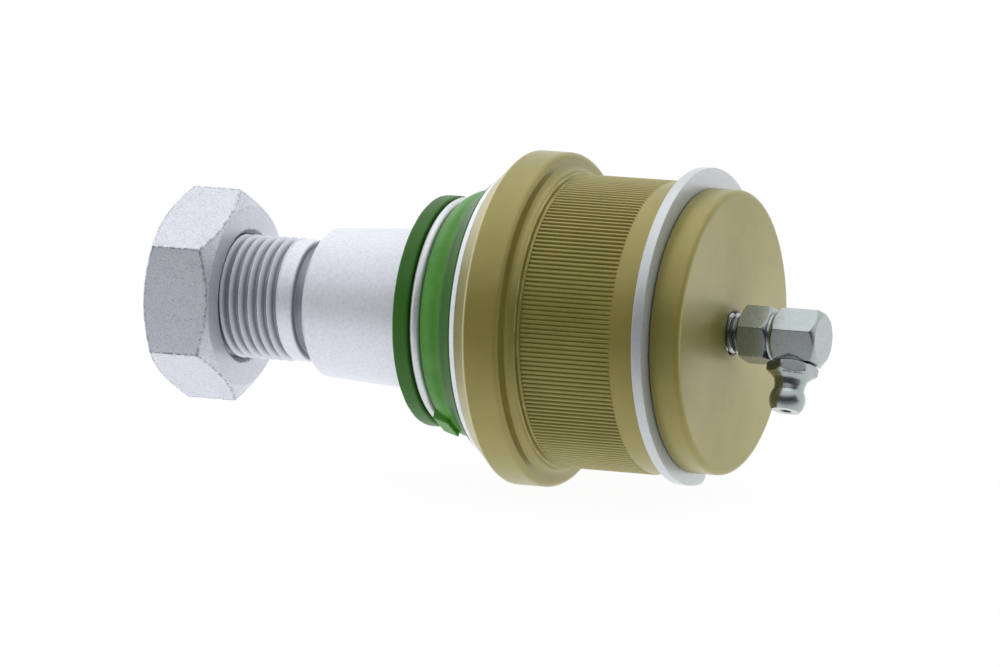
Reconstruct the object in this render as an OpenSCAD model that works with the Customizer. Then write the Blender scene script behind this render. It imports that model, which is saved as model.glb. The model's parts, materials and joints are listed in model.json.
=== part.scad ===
// Suspension ball joint, pressed into a control arm from its flange side and held by a snap ring.
// The joint's axis is X: the stud points to -X, the closed end with the grease fitting to +X.
// The origin is the centre of the ball. All sizes are millimetres.

/* [Housing] */
// Thickness of the bearing races at the ball's equator
race_wall = 5; // [4:0.1:6]
// Thickness of the barrel's wall, out to the tips of its knurl
barrel_wall = 4; // [3.4:0.1:5.5]
// Depth of the smooth pilot land under the knurl's tips
pilot_drop = 0.15; // [0.1:0.05:0.4]
// Depth of the closed end's drum under the pilot land
end_drop = 0.75; // [0.3:0.05:1.2]
// Height of the stop flange over the knurl
flange_h = 4; // [3:0.1:7]
// Thickness of the stop flange
flange_w = 7.1; // [5:0.1:9]
// Distance from the ball centre to the flange's stud side
flange_offset = 15; // [14.6:0.1:15.6]
// Thickness of the housing's wall at its front face
front_wall = 4.6; // [4:0.1:5.2]
// Length of the cone between the flange and the front face
front_len = 3.3; // [2.8:0.1:3.8]
// Clearance between the ball's flat and the closed end's floor
floor_gap = 2.5; // [2:0.1:4]
// Thickness of the closed end wall
end_wall = 8; // [7:0.1:9]
// Length of the closed end beyond the snap ring groove
end_len = 6; // [5:0.1:7]
// Radial step from the race bore down to the spring pocket
pocket_step = 3; // [2:0.1:4]
// Length of the smooth pilot land
pilot_len = 5.4; // [4:0.1:7]
// Width of the groove between the flange's fillet and the knurl
relief_w = 0.7; // [0.5:0.1:1.2]
// Number of teeth of the straight knurl
knurl_teeth = 196; // [160:1:220]
// Depth of the knurl's teeth
knurl_depth = 0.3; // [0.2:0.05:0.4]

/* [Ball stud] */
// Diameter of the ball
ball_d = 38; // [37:0.1:39]
// Height of the cap cut off the bottom of the ball
ball_flat = 2.5; // [2:0.1:4]
// Diameter of the neck between the ball and the taper
neck_d = 19.5; // [18:0.1:19.8]
// Diameter of the taper at its large end
taper_d = 31.8; // [31:0.1:32.2]
// Length along which the taper loses one millimetre of diameter
taper_ratio = 8; // [6:0.5:12]
// Distance from the ball centre to the taper's large end
taper_offset = 32.3; // [32:0.1:34]
// Length of the taper
taper_len = 24.7; // [18:0.1:30]
// Length of the cylindrical seat that the boot's lip turns on
lip_seat_len = 2.1; // [1.8:0.1:2.4]
// Width of the relief groove between the taper and the thread
groove_w = 3.1; // [2:0.1:4]
// Diameter in the relief groove
groove_d = 20.6; // [18:0.1:21.4]
// Length of the plain collar before the thread
collar_len = 2.8; // [1:0.1:5]
// Nominal diameter of the stud's thread
thread_d = 24; // [22:0.1:26]
// Length of the thread
thread_len = 27; // [24:0.1:34]

/* [Nut] */
// Width across the nut's flats
nut_af = 35.6; // [34:0.1:41]
// Height of the nut
nut_h = 13.9; // [10:0.1:15]
// Depth of the countersink at each end of the nut's thread
nut_sink = 0.9; // [0.5:0.1:1.4]
// Length of stud that stands out of the nut
stud_proud = 1; // [0.5:0.1:6]
// Turn of the nut's flats about the axis, in degrees
nut_turn = -4; // [-30:0.5:30]

/* [Bearing] */
// Length of the upper race, from the closing ring to the circle where the ball leaves it
race_lip = 2.7; // [2:0.1:3.4]
// Gap between the two races at the ball's equator
race_gap = 1.2; // [0.8:0.1:1.6]
// Diameter of the grease hole through the pressure seat
seat_hole_d = 23; // [20:0.1:24]
// Thickness of the disc spring
disc_t = 2.2; // [1.8:0.1:2.5]
// Radial room around the disc spring in its pocket
disc_room = 1; // [0.3:0.1:2]
// Inside diameter of the disc spring
disc_id = 24.4; // [20:0.1:26]
// Height of the loaded disc spring
disc_h = 3; // [2.8:0.1:3.3]
// Thickness of the closing ring's flange on the housing's front face
ring_proud = 1.35; // [1.2:0.05:1.6]

/* [Boot] */
// Height of the boot's sealing lip over the stud
lip_h = 6.3; // [5.8:0.1:6.8]
// Width of the sealing lip
lip_w = 3.1; // [2.6:0.1:3.3]
// Length of taper that the lip covers
lip_cover = 1.8; // [1:0.1:3]
// Radial step from the closing ring down to the boot's flared edge
boot_step = 1.2; // [0.9:0.1:1.8]
// Height of the flared edge over the boot's bulge
flare_h = 3.4; // [2.8:0.1:4]
// Width of the groove for the spring ring
ring_groove_w = 2.5; // [2.2:0.1:2.8]
// Depth of the groove for the spring ring
ring_groove_h = 2.05; // [1.8:0.05:2.3]
// Wire diameter of the spring ring
wire_d = 1.9; // [1.6:0.1:2.1]
// Length of the lug moulded beside the spring ring
lug_len = 3.4; // [3:0.1:4]

/* [Snap ring] */
// Height of the snap ring over the pilot land, before it is shifted
snap_proud = 2.35; // [1.8:0.05:2.6]
// Distance by which its outside is off centre, away from its gap
snap_shift = 0.8; // [0.6:0.1:1.4]
// Thickness of the snap ring
snap_t = 2.1; // [1.8:0.1:2.3]
// Width of its groove
snap_groove_w = 2.4; // [2.4:0.1:2.7]
// Depth of its groove under the pilot land
snap_groove_h = 2; // [1.6:0.1:2.2]
// Angle of its gap, in degrees
snap_gap = 28; // [15:1:40]
// Direction of its gap about the axis from the bottom, in degrees
snap_turn = 17; // [-180:1:180]

/* [Grease fitting] */
// Nominal diameter of the fitting's thread in the end wall
port_d = 8; // [7:0.1:9]
// Width across the flats of the elbow
elbow_af = 10; // [9.6:0.1:12]
// Length of thread left showing
elbow_gap = 2.4; // [1:0.1:5]
// Length of the elbow's wrench hexagon
elbow_hex_len = 6; // [3:0.1:7]
// Length of the turned waist between the two hexagons
waist_len = 0.8; // [0.6:0.1:2]
// Diameter of the turned waist
waist_d = 9.2; // [8:0.1:9.3]
// Length of the elbow's head
head_len = 9.1; // [8.5:0.1:10]
// Distance from the start of the head to the nipple's axis
nipple_offset = 3.8; // [3.6:0.1:4.6]
// Diameter of the grease duct
duct_d = 3.6; // [2:0.1:4]
// Turn of the elbow's flats about the axis, in degrees
elbow_turn = 6; // [-30:0.5:30]
// Width across the flats of the nipple
nipple_af = 8.5; // [8:0.1:9.2]
// Thickness of the nipple's hexagon
nipple_hex_h = 2.5; // [2:0.1:4]
// Nominal diameter of the nipple's thread
nipple_thread_d = 6; // [5.6:0.1:6.2]
// Diameter of the nipple's ball head
nipple_head_d = 6.9; // [6.6:0.1:7]
// Diameter of the neck above the hexagon
nipple_neck_d = 5.8; // [5.2:0.1:6]
// Distance from the hexagon to the middle of the ball head
nipple_reach = 4.6; // [4.2:0.1:6]
// Diameter of the check ball
check_d = 2.4; // [2.2:0.1:2.6]

/* [Fits] */
// Radial running clearance of the ball in its races and of the nut on its thread
run_gap = 0.05; // [0.02:0.01:0.08]
// Clearance drawn between pieces that are pressed or screwed tight
tight_gap = 0.02; // [0.01:0.01:0.04]
// Clearance drawn between the rubber boot and what it touches
soft_gap = 0.05; // [0.02:0.01:0.1]

/* [Hidden] */
$fn = 96;

// Diameters, from the ball outwards
bore_d = ball_d + 2 * race_wall;
barrel_d = bore_d + 2 * barrel_wall;
pilot_d = barrel_d - 2 * pilot_drop;
drum_d = pilot_d - 2 * end_drop;
flange_d = barrel_d + 2 * flange_h;
front_d = bore_d + 2 * front_wall;
pocket_d = bore_d - 2 * pocket_step;
disc_od = pocket_d - 2 * disc_room;
snap_groove_d = pilot_d - 2 * snap_groove_h;
snap_od = pilot_d + 2 * snap_proud;
flare_r = front_d / 2 - boot_step;
bulge_r = flare_r - flare_h;
lip_d = taper_d + 2 * lip_h;
ring_groove_d = lip_d - 2 * ring_groove_h;

// The taper has to pass through the race's opening when the joint is put together
taper_pass_gap = 0.35;
opening_d = taper_d + 2 * taper_pass_gap;

// Stations along the axis, from the stud's end to the ball
taper_x = -taper_offset;
taper_end_x = taper_x - taper_len;
collar_x = taper_end_x - groove_w;
thread_x = collar_x - collar_len;
stud_end_x = thread_x - thread_len;
nut_x = stud_end_x + stud_proud;
nut_end_x = nut_x + nut_h;
flange_x = -flange_offset;
seat_x = flange_x + flange_w;
front_x = flange_x - front_len;
ring_front_x = front_x - ring_proud;
race_front_x = -sqrt(pow(ball_d / 2, 2) - pow(opening_d / 2, 2)) - race_lip;

// Stations along the axis, from the ball to the end of the grease fitting
ball_flat_x = ball_d / 2 - ball_flat;
floor_x = ball_flat_x + floor_gap;
face_x = floor_x + end_wall;
end_x = face_x - end_len;
snap_x = end_x - snap_groove_w;
seat_back_x = floor_x - disc_h;
elbow_x = face_x + elbow_gap;
waist_x = elbow_x + elbow_hex_len;
head_x = waist_x + waist_len;
nipple_x = head_x + nipple_offset;

// Housing details
corner_r = 1.1;
fillet_r = 1.4;
land_d = barrel_d + 0.8;
land_len = 0.6;
relief_d = barrel_d - 0.8;
small_chamfer = 0.5;
edge_break = 0.3;
end_round = 1.2;
shoulder_gap = 0.6;
knurl_x = seat_x + fillet_r + land_len + relief_w;
knurl_end_x = snap_x - pilot_len;

// Boot and closing ring details
lip_x = taper_x - lip_cover;
ring_groove_x = lip_x + lip_w;
shoulder_x = ring_groove_x + ring_groove_w;
boot_back_x = ring_front_x - soft_gap;
boot_wall = 2.1;
foot_t = 1.4;
foot_ring_t = 0.7;
foot_depth = 3.4;
foot_wall = 2.15;
foot_out_r = bore_d / 2 - foot_wall;
foot_in_r = foot_out_r - foot_ring_t - foot_t - 3 * soft_gap;
foot_x = ring_front_x + foot_depth;
flap_t = 0.5;
hook_h = 0.4;
hook_len = 0.7;
ring_bevel = 0.8;
closing_land = 0.9;
closing_step = 0.6;
closing_front_d = 2 * (foot_in_r - closing_land);
closing_back_d = opening_d + 2 * closing_step;

// Stud details
neck_round = 4;
taper_chamfer = 0.8;
thread_chamfer = 1.2;
centre_hole_d = 4;
centre_hole_depth = 4.5;

// Nipple details, as heights along its own axis from the elbow's axis
mouth_len = 0.8;
nipple_seat_t = 0.6;
spring_duct_d = 1.4;
nipple_hex_z = elbow_af / 2 + tight_gap;
nipple_neck_z = nipple_hex_z + nipple_hex_h;
nipple_head_z = nipple_neck_z + nipple_reach;
nipple_tip_z = nipple_head_z + nipple_head_d * 0.32;
mouth_d = check_d * 0.8;
mouth_z = nipple_tip_z - mouth_len;
chamber_d = check_d + 2 * run_gap;
check_z = mouth_z - sqrt(pow(check_d / 2, 2) - pow(mouth_d / 2, 2)) - run_gap;
spring_floor_z = nipple_hex_z + nipple_seat_t;

function taper_r(x) = taper_d / 2 - (taper_x - x) / taper_ratio / 2;

// Points of an arc in the plane of a profile, as [radius, station]
function arc(r, x, rad, from, to, steps = 8) =
    [for (i = [0:steps]) let (a = from + (to - from) * i / steps) [r + rad * cos(a), x + rad * sin(a)]];

// Turns a profile of [radius, station] points about the X axis
module turn_x() {
    rotate([0, 90, 0]) rotate_extrude() children();
}

// A straight round bar or bore along X
module bar_x(d, from, to) {
    translate([from, 0, 0]) rotate([0, 90, 0]) cylinder(d = d, h = to - from);
}

// Lays its children, drawn along +Z, along X and turns them about it
module along_x(from, turn = 0) {
    translate([from, 0, 0]) rotate([turn, 0, 0]) rotate([0, 90, 0]) children();
}

// A hexagonal bar along +Z, bevelled at each end down to a round face
module turned_hex(af, h, face_r, bevel) {
    point_r = af / 2 / cos(30) + 0.1;
    intersection() {
        cylinder(d = af / cos(30), h = h, $fn = 6);
        rotate_extrude() polygon([
            [0, 0],
            [face_r[0], 0],
            [point_r, bevel[0]],
            [point_r, h - bevel[1]],
            [face_r[1], h],
            [0, h]]);
    }
}

// The ring of straight teeth that bites into the arm
module knurl() {
    pitch = 360 / knurl_teeth;
    tip_r = barrel_d / 2;
    root_r = tip_r - knurl_depth;
    crest = 0.15;
    tooth = [[-crest, tip_r], [crest, tip_r], [0.5, root_r]];
    along_x(knurl_x)
        linear_extrude(knurl_end_x - knurl_x)
            difference() {
                polygon([for (i = [0:knurl_teeth - 1]) for (point = tooth)
                    let (a = (i + point[0]) * pitch) point[1] * [cos(a), sin(a)]]);
                circle(d = relief_d - 2 * knurl_depth);
            }
}

module housing() {
    land_end_x = seat_x + fillet_r + land_len;
    relief_step = 0.2;
    color("#847c4e")
    difference() {
        union() {
            turn_x() polygon(concat(
                [[bore_d / 2, front_x],
                 [front_d / 2, front_x],
                 [flange_d / 2 - edge_break, flange_x],
                 [flange_d / 2, flange_x + edge_break]],
                arc(flange_d / 2 - corner_r, seat_x - corner_r, corner_r, 0, 90),
                arc(land_d / 2 + fillet_r, seat_x + fillet_r, fillet_r, -90, -180),
                [[land_d / 2, land_end_x],
                 [relief_d / 2, land_end_x + relief_step],
                 [relief_d / 2, knurl_end_x],
                 [pilot_d / 2, knurl_end_x],
                 [pilot_d / 2, snap_x],
                 [snap_groove_d / 2, snap_x],
                 [snap_groove_d / 2, end_x],
                 [drum_d / 2 - edge_break, end_x],
                 [drum_d / 2, end_x + edge_break]],
                arc(drum_d / 2 - end_round, face_x - end_round, end_round, 0, 90),
                [[0, face_x],
                 [0, floor_x],
                 [pocket_d / 2, floor_x],
                 [pocket_d / 2, seat_back_x + shoulder_gap],
                 [bore_d / 2, seat_back_x + shoulder_gap]]));
            knurl();
        }
        bar_x(port_d + 2 * tight_gap, floor_x - 1, face_x + 1);
    }
}

module closing_ring() {
    spigot_r = bore_d / 2 - tight_gap;
    color("#cdd0d7")
    turn_x() polygon([
        [closing_back_d / 2, race_front_x - tight_gap],
        [spigot_r, race_front_x - tight_gap],
        [spigot_r, front_x - tight_gap],
        [front_d / 2, front_x - tight_gap],
        [front_d / 2 - ring_bevel, ring_front_x],
        [foot_out_r - hook_h, ring_front_x],
        [foot_out_r - hook_h, ring_front_x + hook_len],
        [foot_out_r, ring_front_x + hook_len],
        [foot_out_r, foot_x],
        [foot_in_r, foot_x],
        [foot_in_r, ring_front_x],
        [closing_front_d / 2, ring_front_x]]);
}

module upper_race() {
    color("#9a9ca0")
    difference() {
        bar_x(bore_d - 2 * tight_gap, race_front_x, -race_gap / 2);
        sphere(d = ball_d + 2 * run_gap);
        bar_x(opening_d, race_front_x - 1, 0);
    }
}

module pressure_seat() {
    color("#8d9095")
    difference() {
        bar_x(bore_d - 2 * run_gap, race_gap / 2, seat_back_x - run_gap);
        sphere(d = ball_d + 2 * run_gap);
        bar_x(seat_hole_d, 0, seat_back_x + 1);
    }
}

module disc_spring() {
    color("#5b5f66")
    turn_x() polygon([
        [disc_id / 2, seat_back_x],
        [disc_id / 2, seat_back_x + disc_t],
        [disc_od / 2, floor_x - tight_gap],
        [disc_od / 2, floor_x - tight_gap - disc_t]]);
}

module ball_stud() {
    lip_seat_x = taper_x + lip_seat_len;
    thread_r = thread_d / 2 - run_gap;
    color("#dfe1e7")
    difference() {
        union() {
            intersection() {
                sphere(d = ball_d);
                bar_x(ball_d + 2, -ball_d, ball_flat_x);
            }
            turn_x() polygon(concat(
                [[0, 0], [neck_d / 2, 0]],
                arc(neck_d / 2 + neck_round, lip_seat_x + neck_round, neck_round, 180, 270),
                [[taper_d / 2, lip_seat_x],
                 [taper_d / 2, taper_x],
                 [taper_r(taper_end_x), taper_end_x + taper_chamfer],
                 [taper_r(taper_end_x) - taper_chamfer, taper_end_x],
                 [groove_d / 2, taper_end_x],
                 [groove_d / 2, collar_x],
                 [thread_r - small_chamfer, collar_x],
                 [thread_r, collar_x - small_chamfer],
                 [thread_r, stud_end_x + thread_chamfer],
                 [thread_r - thread_chamfer, stud_end_x],
                 [0, stud_end_x]]));
        }
        bar_x(centre_hole_d, stud_end_x - 1, stud_end_x + centre_hole_depth);
    }
}

module hex_nut() {
    face_r = nut_af / 2 - 0.55;
    bevel = (nut_af / 2 / cos(30) + 0.1 - face_r) * tan(30);
    sink_r = thread_d / 2 + nut_sink;
    color("#bfc2c9")
    difference() {
        along_x(nut_x, nut_turn) turned_hex(nut_af, nut_h, [face_r, face_r], [bevel, bevel]);
        turn_x() polygon([
            [0, nut_x - 1],
            [sink_r, nut_x - 1],
            [sink_r, nut_x],
            [thread_d / 2, nut_x + nut_sink],
            [thread_d / 2, nut_end_x - nut_sink],
            [sink_r, nut_end_x],
            [sink_r, nut_end_x + 1],
            [0, nut_end_x + 1]]);
    }
}

module dust_boot() {
    lug_w = 6.4;
    lug_turn = -34;
    lug_low_r = lip_d / 2 + 1;
    lug_high_r = lip_d / 2 + 1.9;
    lip_round = 0.6;
    edge = 0.3;
    shoulder_r = lip_d / 2 - 0.5;
    shoulder_t = 1.2;
    bulge_h = bulge_r - shoulder_r;
    bulge_x = boot_back_x - 3.9;
    bulge_len = bulge_x - shoulder_x;
    flare_len = boot_back_x - edge - bulge_x;
    flap_x = ring_front_x + flap_t;
    neck_r = foot_in_r + foot_ring_t + soft_gap;
    hook_r = foot_out_r - hook_h - soft_gap;
    color("#468039")
    union() {
        turn_x() polygon(concat(
            [[taper_d / 2 + soft_gap, lip_x],
             [lip_d / 2 - lip_round, lip_x],
             [lip_d / 2, lip_x + lip_round],
             [lip_d / 2, ring_groove_x - edge],
             [lip_d / 2 - edge, ring_groove_x],
             [ring_groove_d / 2, ring_groove_x],
             [ring_groove_d / 2, shoulder_x],
             [shoulder_r, shoulder_x],
             [shoulder_r + bulge_h * 0.55, shoulder_x + bulge_len * 0.27],
             [shoulder_r + bulge_h * 0.87, shoulder_x + bulge_len * 0.6],
             [bulge_r, bulge_x],
             [bulge_r + flare_h * 0.2, bulge_x + flare_len * 0.3],
             [bulge_r + flare_h * 0.72, bulge_x + flare_len * 0.72],
             [flare_r, boot_back_x - edge],
             [flare_r - edge, boot_back_x],
             [hook_r, boot_back_x],
             [hook_r, ring_front_x + hook_len + soft_gap],
             [foot_out_r - soft_gap, ring_front_x + hook_len + soft_gap],
             [foot_out_r - soft_gap, foot_x - soft_gap],
             [neck_r + soft_gap, foot_x - soft_gap],
             [neck_r + soft_gap, flap_x],
             [foot_in_r + soft_gap, flap_x],
             [foot_in_r + soft_gap, ring_front_x],
             [bulge_r - boot_wall, bulge_x - boot_wall / 2],
             [shoulder_r - boot_wall + edge, shoulder_x + shoulder_t],
             [taper_d / 2 + soft_gap, taper_x + lip_seat_len]]));
        rotate([lug_turn, 0, 0]) rotate([90, 0, 0])
            linear_extrude(lug_w, center = true)
                polygon([
                    [shoulder_x, -shoulder_r + boot_wall / 2],
                    [shoulder_x, -lug_low_r],
                    [shoulder_x + lug_len, -lug_high_r],
                    [shoulder_x + lug_len, -shoulder_r + boot_wall / 2]]);
    }
}

module boot_foot_ring() {
    in_r = foot_in_r + soft_gap;
    out_r = in_r + foot_ring_t;
    color("#70747b")
    turn_x() polygon([
        [in_r, ring_front_x + flap_t + soft_gap],
        [out_r, ring_front_x + flap_t + soft_gap],
        [out_r, foot_x - soft_gap],
        [in_r, foot_x - soft_gap]]);
}

module boot_spring_ring() {
    color("#cdd0d7")
    turn_x() translate([ring_groove_d / 2 + tight_gap + wire_d / 2, (ring_groove_x + shoulder_x) / 2])
        circle(d = wire_d, $fn = 32);
}

module snap_ring() {
    middle_x = snap_x + snap_groove_w / 2;
    color("#c9ccd3")
    rotate([snap_turn, 0, 0])
    difference() {
        translate([0, 0, snap_shift]) bar_x(snap_od, middle_x - snap_t / 2, middle_x + snap_t / 2);
        bar_x(snap_groove_d + 2 * tight_gap, snap_x - 1, end_x + 1);
        along_x(snap_x - 1)
            linear_extrude(snap_groove_w + 2)
                polygon([[0, 0], snap_od * [cos(snap_gap / 2), -sin(snap_gap / 2)],
                         snap_od * [cos(snap_gap / 2), sin(snap_gap / 2)]]);
    }
}

// Stands its children, drawn along +Z, on the nipple's axis
module at_nipple() {
    translate([nipple_x, 0, 0]) rotate([elbow_turn + 150, 0, 0]) children();
}

module grease_elbow() {
    near_face_r = elbow_af / 2 - 0.1;
    waist_face_r = elbow_af / 2 - 0.3;
    end_face_r = elbow_af / 2 - 0.5;
    near_bevel = 0.5;
    waist_bevel = 0.8;
    end_bevel = 0.9;
    color("#a7adad")
    difference() {
        union() {
            bar_x(port_d, floor_x, elbow_x + 1);
            along_x(elbow_x, elbow_turn)
                turned_hex(elbow_af, elbow_hex_len, [near_face_r, waist_face_r], [near_bevel, waist_bevel]);
            bar_x(waist_d, waist_x - 1, head_x + 1);
            along_x(head_x, elbow_turn)
                turned_hex(elbow_af, head_len, [waist_face_r, end_face_r], [waist_bevel, end_bevel]);
        }
        bar_x(duct_d, floor_x - 1, nipple_x);
        at_nipple() cylinder(d = nipple_thread_d + 2 * tight_gap, h = elbow_af);
    }
}

module nipple_body() {
    thread_z = duct_d / 2 + 0.2;
    hex_turn = -22.5;
    seat_bevel = 0.3;
    neck_bevel = 0.6;
    cup_r = nipple_af / 2 - 0.35;
    cup_round = 0.7;
    color("#a9afaf")
    at_nipple() difference() {
        union() {
            translate([0, 0, thread_z])
                cylinder(d = nipple_thread_d, h = nipple_hex_z + seat_bevel - thread_z);
            translate([0, 0, nipple_hex_z]) rotate([0, 0, hex_turn])
                turned_hex(nipple_af, nipple_hex_h, [nipple_af / 2 - 0.1, nipple_af / 2 - seat_bevel],
                           [seat_bevel, neck_bevel]);
            rotate_extrude() polygon([
                [0, nipple_neck_z - neck_bevel],
                [cup_r, nipple_neck_z - neck_bevel],
                [cup_r, nipple_neck_z + 0.05],
                [nipple_neck_d / 2 + 0.3, nipple_neck_z + cup_round],
                [nipple_neck_d / 2, nipple_neck_z + 2 * cup_round],
                [nipple_neck_d / 2, nipple_head_z],
                [0, nipple_head_z]]);
            intersection() {
                translate([0, 0, nipple_head_z]) sphere(d = nipple_head_d);
                cylinder(d = nipple_head_d + 1, h = nipple_tip_z);
            }
        }
        cylinder(d = spring_duct_d, h = spring_floor_z + 1);
        translate([0, 0, spring_floor_z]) cylinder(d = chamber_d, h = mouth_z - spring_floor_z);
        translate([0, 0, mouth_z - mouth_len]) cylinder(d = mouth_d, h = 3 * mouth_len);
    }
}

module check_ball() {
    color("#d6d8dc")
    at_nipple() translate([0, 0, check_z]) sphere(d = check_d);
}

// A closed-end compression spring as one swept tube
module check_spring() {
    wire = 0.3;
    turns = 6;
    steps = 10;
    sides = 6;
    coil_r = check_d / 2 - wire / 2 - 0.1;
    bottom_z = spring_floor_z + wire / 2 + tight_gap;
    top_z = check_z - check_d / 2 * 0.75 - wire / 2 - tight_gap;
    rings = turns * steps;
    function ring_point(i, k) =
        let (a = 360 * i / steps, b = 360 * k / sides, r = coil_r + wire / 2 * cos(b))
        [r * cos(a), r * sin(a), bottom_z + (top_z - bottom_z) * i / rings + wire / 2 * sin(b)];
    points = [for (i = [0:rings]) for (k = [0:sides - 1]) ring_point(i, k)];
    walls = [for (i = [0:rings - 1]) for (k = [0:sides - 1])
        let (n = (k + 1) % sides)
        [i * sides + k, (i + 1) * sides + k, (i + 1) * sides + n, i * sides + n]];
    ends = [[for (k = [0:sides - 1]) k], [for (k = [0:sides - 1]) rings * sides + sides - 1 - k]];
    color("#8f9399")
    at_nipple() polyhedron(points, concat(walls, ends));
}

housing();
closing_ring();
upper_race();
pressure_seat();
disc_spring();
ball_stud();
hex_nut();
dust_boot();
boot_foot_ring();
boot_spring_ring();
snap_ring();
grease_elbow();
nipple_body();
check_ball();
check_spring();
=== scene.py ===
import json
import math

import bmesh
import bpy
from bpy.props import FloatProperty, FloatVectorProperty, IntProperty, PointerProperty
from bpy.types import Operator, Panel, PropertyGroup
from mathutils import Matrix, Vector, noise


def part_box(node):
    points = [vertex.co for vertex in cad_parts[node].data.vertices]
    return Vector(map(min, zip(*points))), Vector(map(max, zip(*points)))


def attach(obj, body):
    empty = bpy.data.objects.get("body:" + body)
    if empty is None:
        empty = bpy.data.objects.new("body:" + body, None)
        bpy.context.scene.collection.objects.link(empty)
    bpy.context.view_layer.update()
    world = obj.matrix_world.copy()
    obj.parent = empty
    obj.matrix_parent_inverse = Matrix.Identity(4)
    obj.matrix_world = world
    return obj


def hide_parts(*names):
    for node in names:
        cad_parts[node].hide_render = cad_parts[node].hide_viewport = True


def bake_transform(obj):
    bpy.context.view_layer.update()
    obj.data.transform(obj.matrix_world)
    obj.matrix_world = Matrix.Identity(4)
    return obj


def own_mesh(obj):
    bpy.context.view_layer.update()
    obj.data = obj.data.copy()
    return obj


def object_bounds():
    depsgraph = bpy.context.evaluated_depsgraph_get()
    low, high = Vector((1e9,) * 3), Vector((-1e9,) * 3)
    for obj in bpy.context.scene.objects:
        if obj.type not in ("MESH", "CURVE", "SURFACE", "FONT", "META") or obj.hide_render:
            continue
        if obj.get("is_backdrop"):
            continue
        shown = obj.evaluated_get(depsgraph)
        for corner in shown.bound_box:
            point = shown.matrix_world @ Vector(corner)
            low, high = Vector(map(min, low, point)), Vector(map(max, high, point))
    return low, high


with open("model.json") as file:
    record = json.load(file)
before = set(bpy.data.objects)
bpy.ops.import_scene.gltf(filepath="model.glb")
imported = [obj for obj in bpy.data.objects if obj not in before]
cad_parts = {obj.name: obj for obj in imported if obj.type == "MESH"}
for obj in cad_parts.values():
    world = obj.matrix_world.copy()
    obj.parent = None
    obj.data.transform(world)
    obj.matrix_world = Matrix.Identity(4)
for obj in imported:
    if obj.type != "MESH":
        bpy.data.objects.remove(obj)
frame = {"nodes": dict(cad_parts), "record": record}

bl_info = {
    "name": "Suspension ball joint",
    "version": (1, 0, 0),
    "blender": (4, 5, 0),
    "location": "View3D > Sidebar > Ball Joint",
    "description": "Builds the visible surfaces and finishes of a pressed-in suspension ball joint",
    "category": "Object",
}

MM = 0.001
WELD = 1e-6
FULL_TURN = 2 * math.pi
SIXTH = math.pi / 3
AXIS = Vector((1, 0, 0))

MOUNT = {mount["name"]: mount for mount in frame["record"]["mounts"]}

# One turn of a screw thread: (share of the pitch, share of the depth)
THREAD_SECTION = ((0.0, 0.85), (0.04, 1.0), (0.11, 1.0), (0.15, 0.85), (0.43, 0.1), (0.5, 0.0), (0.65, 0.0),
                  (0.72, 0.1), (1.0, 0.85))

# Columns of the mesh to one tooth of the knurl, and half a groove's width in teeth
TOOTH_COLUMNS = 6
TOOTH_GROOVE = 0.29

# Sides of the turned shapes and steps of the swept ones
RING_SIDES = 192
BOOT_SIDES = 180
STUD_SIDES = 144
HEXAGON_SIDES = 96
SNAP_STEPS = 440
WIRE_SIDES = 20
SPRING_SIDES = 10

NUT_BEVEL = math.radians(30)
ELBOW_ANGLE = math.radians(150)

# The middle of a noise's range, over which gloss follows the grain
GRAIN_RANGE = (0.3, 0.7)

# Width of the picture in pixels, and of the camera's sensor in millimetres
PICTURE_WIDTH = 1000
SENSOR_WIDTH = 36.0


# Properties

def number(name, description, default, **more):
    """A number, with its unit or subtype where it has one"""
    return FloatProperty(name=name, description=description, default=default, **more)


def length(name, description, default):
    """A size, with its default in millimetres"""
    return number(name, description, default * MM, min=0.0, unit="LENGTH", precision=5)


def station(name, description, default):
    """A place along the joint's axis from the ball's centre, with its default in millimetres"""
    return number(name, description, default * MM, unit="LENGTH", precision=5)


def angle(name, description, degrees):
    """An angle, with its default in degrees"""
    return number(name, description, math.radians(degrees), subtype="ANGLE")


def colour(name, description, *levels):
    """A colour, with its default as the 8-bit levels of a picture"""
    shares = [level / 255 for level in levels]
    return FloatVectorProperty(
        name=name, description=description, subtype="COLOR", size=3, min=0.0, max=1.0,
        default=[share / 12.92 if share <= 0.04045 else ((share + 0.055) / 1.055) ** 2.4 for share in shares])


def low(node):
    """The lowest corner of a solid, in millimetres"""
    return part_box(node)[0] / MM


def high(node):
    """The highest corner of a solid, in millimetres"""
    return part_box(node)[1] / MM


def mount_at(name):
    """Where a mount stands along the axis, in millimetres"""
    return MOUNT[name]["pos_m"][0] / MM


def mount_size(name, key="r_mm"):
    """A size of a mount, in millimetres"""
    return MOUNT[name]["dims"][key]


PILOT_MIDDLE = mount_at("barrel")
PILOT_LEN = mount_size("barrel", "length_mm")
GROOVE_MIDDLE = (low("snap_ring").x + high("snap_ring").x) / 2


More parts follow.
